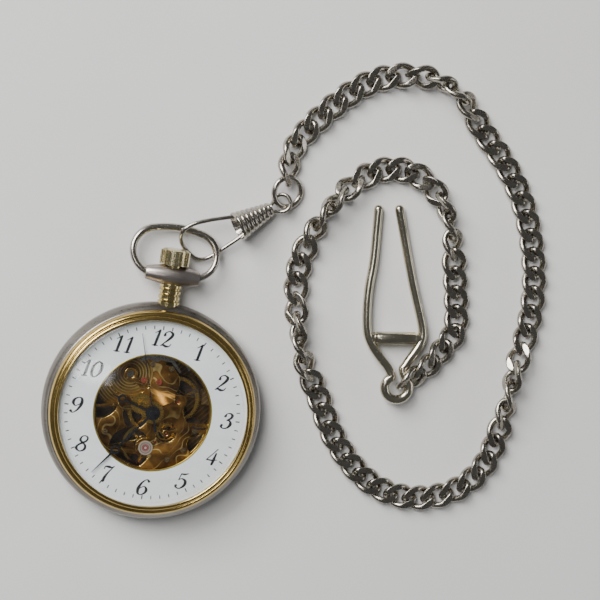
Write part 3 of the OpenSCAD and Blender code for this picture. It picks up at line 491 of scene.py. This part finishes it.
FINISH = {
    steel: ["case_band", "case_back", "movement_ring"],
    bow_steel: ["bow"],
    yoke_steel: ["bow_yoke"],
    pendant_gold: ["pendant"],
    hook_steel: ["hook_wire", "hook_sleeve", "jump_ring"],
    clip_steel: ["clip_wire", "clip_bar"],
    chain_steel: ["chain_segment_%02d" % i for i in range(1, 9)],
    gold: ["front_bezel", "balance_wheel"],
    rim_gold: ["dial_rim"],
    crown_gold: ["crown"],
    enamel_white: ["dial"],
    hand_black: ["hour_hand", "minute_hand", "seconds_hand"],
    crystal_glass: ["front_crystal"],
    back_glass_painted_shade: ["back_crystal"],
    plate_gilt: ["main_plate"],
    bridge_gilt: ["barrel_bridge", "train_bridge"],
    cock_gilt: ["balance_cock", "pallet_bridge"],
    barrel_gilt: ["barrel", "ratchet_wheel", "crown_wheel"],
    wheel_brass: ["escape_wheel", "centre_wheel", "third_wheel", "fourth_wheel", "minute_wheel", "hour_wheel"],
    screw_steel: ["movement_screws"],
    move_steel: ["pallet_fork", "balance_staff", "cannon_pinion", "click", "keyless_levers", "winding_pinion", "sliding_pinion",
                 "winding_stem", "barrel_arbor", "regulator"],
    shock_steel: ["shock_settings"],
    spring_steel: ["hairspring", "mainspring", "click_spring"],
    ruby_red: ["jewels"],
    rubber: ["crown_gasket"],
}
for mat, names in FINISH.items():
    for name in names:
        if name not in NODES:
            continue
        ob = NODES[name]
        ob.data.materials.clear()
        ob.data.materials.append(mat)
        ob.data.polygons.foreach_set("use_smooth", [True] * len(ob.data.polygons))
        ob.data.set_sharp_from_angle(angle=math.radians(28))


# the polished edges of the plates and bridges
for name, width in (("main_plate", 0.14), ("barrel_bridge", 0.10), ("train_bridge", 0.10), ("balance_cock", 0.10), ("barrel", 0.05)):
    ob = NODES[name]
    ob.data.materials.append(edge_gold)
    weld = ob.modifiers.new("weld", "WELD")
    weld.merge_threshold = 2e-6
    bev = ob.modifiers.new("edge", "BEVEL")
    bev.width, bev.segments, bev.limit_method = width * MM, 2, "ANGLE"
    bev.angle_limit = math.radians(50)
    bev.use_clamp_overlap = True
    bev.material = 1


# ------------------------------------------------------------------ case

# the case band, with its rounded belly and polished shoulders
Z = 7.3
band = [[19, 0.95], [20.6, 0.95], [21.9, 1.8], [22.75, 2.7], [23, 3.5], [23, 5.3], [22.85, 5.75], [22.6, 6.3], [22.05, 6.85], [21.7, Z], [19, Z]]
v, f = lathe(rounded(band, 0.3, 4), 240)
new_object("case_band_turned", v, f, body_for("case_band"), steel, ["case_band"], angle=40)

bezel = [[19.85, Z], [21.5, Z], [21.62, Z + 0.35], [21.55, Z + 0.75], [21.3, Z + 1.2], [20.95, Z + 1.5], [20.65, Z + 1.58], [20.52, Z + 1.46],
         [20.4, Z + 1.62], [20.15, Z + 1.86], [19.85, Z + 1.95], [19.65, Z + 1.85], [19.6, Z + 1.6], [19.85, Z + 1.6]]
v, f = lathe(rounded(bezel, 0.12, 3), 240)
new_object("bezel_turned", v, f, body_for("front_bezel"), gold, ["front_bezel"], angle=50)

back = [[17.2, 0], [19.3, 0], [20.2, 0.25], [20.6, 0.6], [20.6, 0.95], [17.2, 0.95]]
v, f = lathe(rounded(back, 0.12, 3), 240)
new_object("case_back_turned", v, f, body_for("case_back"), steel, ["case_back"], angle=50)

rise = CAD_HI[2] * 1000 - Z - 1.6
ro = (19.6 ** 2 + rise ** 2) / (2 * rise)
top = Z + 1.6 + rise
outer = [(r, top - ro + math.sqrt(ro * ro - r * r)) for r in np.linspace(0.001, 19.55, 40)]
ri, czi = ro - 0.8, top - ro - 0.1
inner_r = 18.9
inner = [(r, czi + math.sqrt(ri * ri - r * r)) for r in np.linspace(inner_r, 0.001, 36)]
prof = outer + [(19.6, Z + 1.55), (19.8, Z + 1.5), (19.8, Z + 0.3), (inner_r, Z + 0.3)] + [p for p in inner]
v, f = lathe(prof, 180, closed=False)
n_prof = len(prof)
ob = new_object("crystal_dome", v, f, body_for("front_crystal"), crystal_glass, ["front_crystal"], angle=40)

v, f = lathe(rounded([[12.12, Z - 0.3], [12.45, Z - 0.3], [12.45, Z + 0.25], [12.12, Z + 0.25]], 0.08, 3), 200)
new_object("dial_rim_turned", v, f, body_for("dial_rim"), rim_gold, ["dial_rim"], angle=60)


# ------------------------------------------------------------------ dial printing

DIGITS = {
    "1": [[(0.10, 0.80, .035), (0.20, 0.88, .05), (0.31, 0.99, .08)], [(0.31, 0.99, .09), (0.31, 0.5, .12), (0.31, 0.03, .11)],
          [(0.15, 0.02, .035), (0.31, 0.03, .07), (0.47, 0.02, .035)]],
    "2": [[(0.09, 0.72, .12), (0.10, 0.88, .06), (0.28, 0.99, .06), (0.48, 0.86, .11), (0.47, 0.66, .13), (0.32, 0.40, .09), (0.14, 0.16, .05),
           (0.05, 0.04, .04)], [(0.05, 0.04, .04), (0.18, 0.10, .09), (0.36, 0.03, .11), (0.52, 0.07, .06), (0.58, 0.21, .035)]],
    "3": [[(0.10, 0.78, .12), (0.14, 0.93, .05), (0.30, 0.99, .06), (0.46, 0.87, .11), (0.43, 0.68, .10), (0.25, 0.55, .045)],
          [(0.25, 0.55, .045), (0.44, 0.49, .08), (0.52, 0.28, .13), (0.42, 0.07, .09), (0.22, 0.0, .05), (0.07, 0.09, .08), (0.07, 0.19, .12)]],
    "4": [[(0.44, 1.0, .05), (0.22, 0.60, .045), (0.03, 0.29, .05)], [(0.03, 0.29, .06), (0.30, 0.27, .07), (0.60, 0.31, .04)],
          [(0.44, 0.72, .07), (0.42, 0.3, .12), (0.40, 0.0, .10)]],
    "5": [[(0.15, 0.95, .05), (0.32, 0.93, .09), (0.52, 1.0, .04)], [(0.15, 0.95, .05), (0.13, 0.75, .045), (0.11, 0.55, .045)],
          [(0.11, 0.55, .045), (0.28, 0.64, .06), (0.50, 0.48, .12), (0.50, 0.20, .12), (0.30, 0.0, .06), (0.09, 0.07, .07), (0.07, 0.17, .12)]],
    "6": [[(0.50, 0.88, .11), (0.36, 0.99, .05), (0.17, 0.80, .08), (0.06, 0.42, .13), (0.12, 0.10, .10), (0.28, 0.0, .05), (0.48, 0.12, .10),
           (0.52, 0.34, .12), (0.36, 0.54, .05), (0.18, 0.44, .045), (0.09, 0.30, .04)]],
    "7": [[(0.08, 0.78, .045), (0.10, 0.93, .06), (0.28, 0.93, .12), (0.44, 0.90, .07), (0.56, 1.0, .04)],
          [(0.56, 1.0, .04), (0.36, 0.60, .07), (0.25, 0.25, .12), (0.24, 0.0, .12)]],
    "8": [[(0.30, 0.55, .07), (0.12, 0.70, .10), (0.14, 0.92, .07), (0.30, 1.0, .05), (0.46, 0.90, .07), (0.46, 0.70, .09), (0.30, 0.55, .10),
           (0.10, 0.38, .09), (0.06, 0.18, .11), (0.28, 0.0, .05), (0.50, 0.14, .11), (0.48, 0.38, .09), (0.30, 0.55, .07)]],
    "0": [[(0.28, 1.0, .05), (0.10, 0.80, .10), (0.05, 0.48, .13), (0.12, 0.14, .10), (0.28, 0.0, .05), (0.47, 0.20, .10), (0.52, 0.52, .13),
           (0.45, 0.86, .10), (0.28, 1.0, .05)]],
}
DIGITS["9"] = [[(0.57 - x, 1.0 - y, w) for x, y, w in DIGITS["6"][0]]]
WIDTH = {"1": 0.50, "0": 0.60}
PRINT_Z = 7.55


def ribbon(stroke, place, z0=PRINT_Z, z1=PRINT_Z + 0.018):
    """One pen stroke of changing width with round ends, as a thin closed plate."""
    pts = catmull(stroke, 7)
    left, rightside = [], []
    n = len(pts)
    for i, p in enumerate(pts):
        t = pts[min(i + 1, n - 1)][:2] - pts[max(i - 1, 0)][:2]
        t = t / (np.linalg.norm(t) + 1e-12)
        nn = np.array([-t[1], t[0]])
        w = p[2] * 0.66
        left.append(p[:2] + nn * w)
        rightside.append(p[:2] - nn * w)
    def cap(p, q, w):
        d = (p - q) / (np.linalg.norm(p - q) + 1e-12)
        s = np.array([-d[1], d[0]])
        return [p + w * (math.cos(a) * s + math.sin(a) * d) for a in (math.pi / 5, 2 * math.pi / 5, 3 * math.pi / 5, 4 * math.pi / 5)]
    # outline: up the left, round the far end, down the right, round the near end
    a, b = pts[-1], pts[-2]
    far = cap(a[:2], b[:2], a[2] * 0.66)
    near = cap(pts[0][:2], pts[1][:2], pts[0][2] * 0.66)
    outline = [place(q) for q in left]
    verts, faces = [], []
    m = n
    for z in (z0, z1):
        verts += [(*place(q), z) for q in left] + [(*place(q), z) for q in rightside] + [(*place(q), z) for q in far] + [(*place(q), z) for q in near]
    N = 2 * m + 8
    def flat(o, up):
        fs = [(o + i, o + m + i, o + m + i + 1, o + i + 1) for i in range(m - 1)]
        F = o + 2 * m
        fs.append((o + m - 1, o + 2 * m - 1, *[F + k for k in (3, 2, 1, 0)]))
        G = F + 4
        fs.append((o + m, o, *[G + k for k in (3, 2, 1, 0)]))
        return fs if up else [tuple(reversed(x)) for x in fs]
    faces += flat(0, False) + flat(N, True)
    ring = list(range(m)) + [2 * m + k for k in range(4)] + [m + i for i in range(m - 1, -1, -1)] + [2 * m + 4 + k for k in range(4)]
    for i in range(len(ring)):
        p, q = ring[i], ring[(i + 1) % len(ring)]
        faces.append((q, p, p + N, q + N))
    return np.array(verts, float) * MM, faces


NUM_R, NUM_H, SLANT = 15.8, 3.35, 0.20
parts = []
for hour in range(1, 13):
    text = str(hour)
    widths = [WIDTH.get(c, 0.60) for c in text]
    gap = 0.06
    total = sum(widths) + gap * (len(text) - 1)
    ang = math.radians(91.3 - hour * 30)
    cx, cy = NUM_R * math.cos(ang), NUM_R * math.sin(ang)
    x0 = -total / 2
    for c, w in zip(text, widths):
        for stroke in DIGITS[c]:
            def place(q, x0=x0, cx=cx, cy=cy):
                x = x0 + q[0] + (q[1] - 0.5) * SLANT
                return (cx + x * NUM_H * 1.14, cy + (q[1] - 0.5) * NUM_H)
            parts.append(ribbon(stroke, place))
        x0 += w + gap
v, f = join(parts)
new_object("dial_numerals", v, f, body_for("dial"), print_black, (), smooth=False)

parts = []
for i in range(60):
    a = math.radians(91.3 - 6 * i)
    five = i % 5 == 0
    w, r0, r1 = (0.12, 17.55, 18.4) if five else (0.10, 17.62, 18.36)
    d, s = np.array([math.cos(a), math.sin(a)]), np.array([-math.sin(a), math.cos(a)])
    q = [d * r0 + s * w, d * r0 - s * w, d * r1 - s * w, d * r1 + s * w]
    vv = [(*p, PRINT_Z) for p in q] + [(*p, PRINT_Z + 0.018) for p in q]
    parts.append((np.array(vv) * MM, [(0, 1, 2, 3)[::1], (7, 6, 5, 4), (0, 4, 5, 1), (1, 5, 6, 2), (2, 6, 7, 3), (3, 7, 4, 0)]))
v, f = join(parts)
ob = new_object("dial_minute_marks", v, f, body_for("dial"), print_black, (), smooth=False)


# ------------------------------------------------------------------ bow

bow_a = math.degrees(math.atan(3.9 / 14.22))
bow_right = [(4.75, 0, 0), (5.1, 0, 0)]
for i in range(1, 14):
    t = arc(-77.1 + (167.1 - bow_a) * i / 13)
    bow_right.append((3.9 + 4.925 * math.cos(t), 4.8 + 4.925 * math.sin(t), 0))
for i in (1, 2):
    t = arc(90 - bow_a + bow_a * i / 2)
    bow_right.append((19.67 * math.cos(t), 4.8 - 14.22 + 19.67 * math.sin(t), 0))
bow_path = bow_right + [(-x, y, z) for x, y, z in bow_right[-2::-1]]
line = catmull([(x, y, z, 0.735 * (0.92 + 0.16 * y / 10)) for x, y, z in bow_path], 5)
place = shift(0, 28.8, 4.4) @ rot("X", -14)
v, f = tube([p[:3] for p in line], [p[3] for p in line], 28, place)
pins = []
for s in (-1, 1):
    pins.append(tube([(s * (3.72 + 0.1 * k), 0, 0) for k in range(13)], 0.58, 24, place))
v, f = join([(v, f)] + pins)
new_object("bow_wire", v, f, body_for("bow"), bow_steel, ["bow"])


# ------------------------------------------------------------------ snap hook and ring

EYE, EYE_R, RING, TURN = (20.9, 47.1, 1.9), 1.85, (21.7, 49.6, 2.0), 74


def tilted(centre, r, t, tilt):
    x, y, z = r * math.cos(arc(t)), r * math.sin(arc(t)) * math.cos(arc(tilt)), r * math.sin(arc(t)) * math.sin(arc(tilt))
    c, s = math.cos(arc(TURN)), math.sin(arc(TURN))
    return (centre[0] + x * c - y * s, centre[1] + x * s + y * c, centre[2] + z)


hook_loop = bspline([[19.1, 45.0, 1.85], [18.2, 44.3, 2.1], [16.0, 41.9, 2.6], [13.4, 38.9, 2.5], [11.3, 36.9, 1.9], [9.2, 34.9, 1.3], [7.6, 33.4, 1.1],
                     [6.2, 32.7, 1.0], [4.9, 32.7, 1.1], [3.6, 33.3, 1.1], [2.1, 34.5, 1.2], [1.1, 35.6, 1.9], [0.7, 36.8, 2.6], [0.8, 38.2, 3.2],
                     [1.8, 39.4, 3.5], [3.6, 40.5, 3.6], [6.4, 41.5, 3.6], [9.8, 42.5, 3.6], [12.6, 43.2, 3.4], [15.6, 44.3, 2.8]], 2)
hook_line = [(17.4, 45.3, 2.35), (18.5, 46.15, 2.3)] + [tilted(EYE, EYE_R, t, -22) for t in range(95, -166, -20)] + [tuple(p) for p in hook_loop]
v, f = tube(catmull(hook_line, 5), 0.435, 22)
new_object("hook_wire_drawn", v, f, body_for("hook_wire"), hook_steel, ["hook_wire"])

n_ribs, L = 8, 8.4
sleeve_out = [(0.0, None)]
outline = [[2.9, 0.0]]
for i in range(n_ribs):
    for px, pz in ([0.10, 0.24], [0.22, 0.06], [0.36, 0.0], [0.58, 0.0], [0.74, 0.06], [0.90, 0.24]):
        x = (i + px) / n_ribs
        outline.append([3.25 - 1.75 * x - pz, x * L])
outline += [[1.3, L], [1.12, L - 0.02], [2.6, 1.2], [2.75, 0.6]]
place = shift(12.0, 40.8, 3.3) @ rot("Z", 35.2) @ rot("Y", 99)
v, f = lathe(outline, 96, place)
new_object("hook_sleeve_ribbed", v, f, body_for("hook_sleeve"), hook_steel, ["hook_sleeve"], angle=45)

circle = [tilted(RING, 3.2, t, 22) for t in range(0, 360, 4)]
SIDES = 24
verts = []
C = np.array(RING)
P = [np.array(p) for p in circle]
axis = np.cross(P[0] - C, P[20] - C)
axis /= np.linalg.norm(axis)
for p in P:
    u = (p - C) / np.linalg.norm(p - C)
    for j in range(SIDES):
        a = 2 * math.pi * j / SIDES
        verts.append(p + 0.6 * (math.cos(a) * u + math.sin(a) * axis))
m = len(P)
faces = [(i * SIDES + j, ((i + 1) % m) * SIDES + j, ((i + 1) % m) * SIDES + (j + 1) % SIDES, i * SIDES + (j + 1) % SIDES) for i in range(m) for j in range(SIDES)]
new_object("jump_ring_round", np.array(verts) * MM, faces, body_for("jump_ring"), hook_steel, ["jump_ring"])


# ------------------------------------------------------------------ clip

CLIP_EYE = (51.9, 11.6, 2.75)
clip_left = [[42, 48.9, 1.0], [42.4, 43, 1.1], [42.8, 37.3, 1.3], [42.5, 33.4, 1.5], [42.6, 29, 1.7], [43.3, 23.6, 1.9], [44.2, 20.9, 2.1], [46.6, 18.0, 2.3], [49.6, 15.3, 2.5]]
clip_right = [[46.5, 49.6, 1.0], [49.3, 41.6, 1.2], [52.0, 34, 1.4], [54.7, 27.6, 1.7], [56.0, 24.2, 1.9], [56.0, 21.5, 2.1], [53.4, 17.3, 2.4], [52.6, 15.2, 2.5]]
left, rght = bspline(clip_left, 2), bspline(clip_right, 2)
clip_line = [tuple(p) for p in left] + [(CLIP_EYE[0] + 2.7 * math.cos(arc(t)), CLIP_EYE[1] + 2.7 * math.sin(arc(t)), CLIP_EYE[2]) for t in range(125, 417, 29)] + [tuple(p) for p in rght[::-1]]
v, f = tube([p + np.array([0, 0, 0.0]) for p in catmull(clip_line, 5)], 0.99, 30)
new_object("clip_wire_bent", v, f, body_for("clip_wire"), clip_steel, ["clip_wire"])


# the rolled tube round the cross wire, with the two seams of its rolling
p0, p1 = np.array([44.4, 21.35, 2.0]), np.array([55.8, 22.75, 2.0])
bar_l = float(np.linalg.norm(p1 - p0))
place = shift(*p0) @ rot("Z", math.degrees(math.atan2(p1[1] - p0[1], p1[0] - p0[0]))) @ rot("Y", 90)


def seamed(a):
    """Outer radius at an angle from the tube's top, falling towards the clip's foot."""
    return 1.4 - sum(0.17 * math.exp(-((a - s) / 3.2) ** 2) for s in (42, 66))


rings, sides = [], 180
for x, k in ((1.5, 0.90), (1.56, 0.96), (1.66, 1.0), (bar_l - 1.56, 1.0), (bar_l - 1.46, 0.96), (bar_l - 1.4, 0.90), (bar_l - 1.4, 0.8), (1.5, 0.8)):
    ring = []
    for j in range(sides):
        a = 360 * j / sides
        r = seamed(a) * k if k > 0.85 else 1.1
        # the top of the tube is -X here once it is laid along the bar, and its foot side is -Y
        ring.append((-r * math.cos(arc(a)), -r * math.sin(arc(a)), x))
    rings.append(ring)
verts = [v for ring in rings for v in ring]
m = len(rings)
faces = [(i * sides + j, ((i + 1) % m) * sides + j, ((i + 1) % m) * sides + (j + 1) % sides, i * sides + (j + 1) % sides) for i in range(m) for j in range(sides)]
V = (np.array(verts) @ place[:3, :3].T + place[:3, 3]) * MM
wire = tube([(0, 0, z) for z in np.linspace(0.3, bar_l - 0.3, 12)], 1.0, 40, place)
collar = lathe(rounded([[0.98, 0.95], [1.28, 0.95], [1.28, 1.5], [0.98, 1.5]], 0.1, 3), 64, place)
v, f = join([(V, faces), wire, collar])
new_object("clip_bar_rolled", v, f, body_for("clip_bar"), clip_steel, ["clip_bar"], angle=50)


# ------------------------------------------------------------------ chain

HEAD = (2.69, (96.24, 74.81, 54.44, 53.0), (2.45, 2.22, 1.75, 1.45), (39.01, 27.99, 16.38))
TAIL = (1.49, (38.07, 47.28, 59.26, 60.93), (2.81, 2.55, 2.1, 1.54), (-40.52, -27.11, -15.76))
LINK_A, LINK_B, LINK_R, LINK_H, TWIST = 3.12, 2.12, 0.70, 1.08, -50
KINKS, KINK_Z = (9, 26, 46, 53, 61), (0.75, 1.55, 1.75, 1.55, 0.75)
STARTS = [0, 7, 16, 24, 32, 42, 52, 66]


def walk(centre, reach, dirs, step=4.2):
    out = [np.array(centre[:2], float) + reach * np.array([math.cos(arc(dirs[0])), math.sin(arc(dirs[0]))])]
    for d in dirs:
        out.append(out[-1] + step * np.array([math.cos(arc(d)), math.sin(arc(d))]))
    return out


head_p, tail_p = walk(RING, HEAD[0], HEAD[1]), walk(CLIP_EYE, TAIL[0], TAIL[1])
guides = [[30.5, 71], [34, 74.5], [38.5, 77], [43, 78], [46.5, 78.5], [51.5, 78],
          [56, 75.5], [59, 72], [62, 68.5], [66, 65], [69, 61.5], [72.5, 57], [75, 52], [77, 46.5], [78.5, 41.5], [79.5, 34.5], [79.5, 28],
          [78, 22], [77, 15], [77, 7.5], [76, -2], [72, -8], [66, -11.5], [58, -13], [50.5, -11], [45, -7], [39, 0], [36.5, 5.5], [34, 10],
          [31, 13.5], [29, 18.5], [28, 23], [27, 27.5], [26.5, 32.5], [27, 37.5], [28.5, 42.5], [30.5, 47], [33, 51], [36, 54], [38, 56],
          [41, 57.5], [45, 58.5], [48.5, 58], [52.5, 56], [55, 53], [57.5, 49], [59, 44.5], [60.5, 39.5], [61.8, 34], [62.8, 29]]
route = bspline([list(head_p[4])] + guides + [list(tail_p[4])], 4) + [tail_p[4]]
dist = np.r_[0, np.cumsum([np.linalg.norm(route[i + 1] - route[i]) for i in range(len(route) - 1)])]
mid = round(dist[-1] / 4.23)
count = mid + 8
rx, ry = [p[0] for p in route], [p[1] for p in route]


def pivot(k):
    if k < 4:
        return np.array([*head_p[k], HEAD[2][k]])
    if k > count - 4:
        return np.array([*tail_p[count - k], TAIL[2][count - k]])
    s = (k - 4) * dist[-1] / mid
    z = 1.25 + sum(KINK_Z[k - q] for q in KINKS if 0 <= k - q <= 4)
    return np.array([np.interp(s, dist, rx), np.interp(s, dist, ry), z])


def roll(k):
    r = 36 * sum(min(max(k - q + 1, 0), 5) for q in KINKS)
    if k < 3:
        r += HEAD[3][k]
    elif k > count - 4:
        r += TAIL[3][count - 1 - k]
    return r


def link_mesh(rings=44, sides=22):
    """One curb link: an oval of wire, twisted about its length and ground flat above and below."""
    def c(t):
        f = arc(TWIST * math.cos(arc(t)))
        y = LINK_B * math.sin(arc(t))
        return np.array([LINK_A * math.cos(arc(t)), y * math.cos(f), y * math.sin(f)])
    verts = []
    for i in range(rings):
        t = (i + 0.5) * 360 / rings
        p, d = c(t), c(t + 0.1) - c(t - 0.1)
        d /= np.linalg.norm(d)
        f = arc(TWIST * math.cos(arc(t)))
        n0 = np.array([0, -math.sin(f), math.cos(f)])
        nn = n0 - (n0 @ d) * d
        nn /= np.linalg.norm(nn)
        m_ = np.cross(d, nn)
        for j in range(sides):
            u = (j + 0.5) * 2 * math.pi / sides
            q = p + LINK_R * (math.cos(u) * nn + math.sin(u) * m_)
            k, h = 0.035, LINK_H
            z = abs(q[2])
            z = -k * math.log(math.exp(-z / k) + math.exp(-h / k)) if z > h - 0.25 else z
            q[2] = math.copysign(z, q[2])
            verts.append(q)
    faces = [(i * sides + j, ((i + 1) % rings) * sides + j, ((i + 1) % rings) * sides + (j + 1) % sides, i * sides + (j + 1) % sides)
             for i in range(rings) for j in range(sides)]
    return np.array(verts), faces


LINK_V, LINK_F = link_mesh()
for run in range(8):
    k0, k1 = STARTS[run], (STARTS[run + 1] if run < 7 else count)
    parts = []
    for k in range(k0, k1):
        p, q = pivot(k), pivot(k + 1)
        d = q - p
        A = shift(*((p + q) / 2)) @ rot("Z", math.degrees(math.atan2(d[1], d[0]))) @ rot("Y", -math.degrees(math.atan2(d[2], math.hypot(d[0], d[1])))) @ rot("X", roll(k))
        parts.append(((LINK_V @ A[:3, :3].T + A[:3, 3]) * MM, LINK_F))
    v, f = join(parts)
    node = "chain_segment_%02d" % (run + 1)
    new_object("chain_links_%d" % (run + 1), v, f, body_for(node), chain_steel, [node])


# ------------------------------------------------------------------ floor and light

def floor_material():
    n = Nodes("tabletop")
    slow = n.noise(14, 3.0)
    fine = n.noise(900, 4.0, rough=0.6)
    col = n.ramp(slow, [(0.3, (0.66, 0.655, 0.645)), (0.7, (0.70, 0.70, 0.695))])
    n.surface(col, 0.75, 0.0, n.bump(fine, 0.06, 0.00006))
    return n.mat


me = bpy.data.meshes.new("tabletop")
S, FZ = 1.6, -0.00006
me.from_pydata([(-S, -S, FZ), (S, -S, FZ), (S, S, FZ), (-S, S, FZ)], [], [(0, 1, 2, 3)])
table = bpy.data.objects.new("tabletop", me)
bpy.context.scene.collection.objects.link(table)
table.data.materials.append(floor_material())

world = bpy.data.worlds.new("studio")
world.use_nodes = True
world.node_tree.nodes["Background"].inputs["Color"].default_value = (0.84, 0.85, 0.86, 1)
world.node_tree.nodes["Background"].inputs["Strength"].default_value = 0.12
bpy.context.scene.world = world


def area(name, place, aim, size, power, color=(1, 1, 1)):
    data = bpy.data.lights.new(name, "AREA")
    data.shape = "RECTANGLE"
    data.size, data.size_y = size
    data.energy = power
    data.color = color
    ob = bpy.data.objects.new(name, data)
    bpy.context.scene.collection.objects.link(ob)
    ob.location = place
    ob.rotation_euler = (Vector(aim) - Vector(place)).to_track_quat("-Z", "Y").to_euler()
    return ob


area("window", (-0.62, 0.58, 0.62), (0.00, 0.05, 0.0), (0.60, 0.50), 15.0, (1.0, 0.995, 0.98))
sky = area("ceiling", (-0.28, 0.26, 0.60), (0.00, 0.04, 0.0), (0.26, 0.30), 3.6, (1.0, 0.99, 0.97))
sky.visible_glossy = False
lamp = area("lamp", (-0.375, 0.085, 0.95), (0.02, 0.03, 0.0), (0.12, 0.30), 0.75, (1.0, 0.99, 0.97))
area("side", (0.80, 0.10, 0.30), (0.03, 0.02, 0.0), (0.50, 0.20), 0.7, (0.98, 0.98, 1.0))
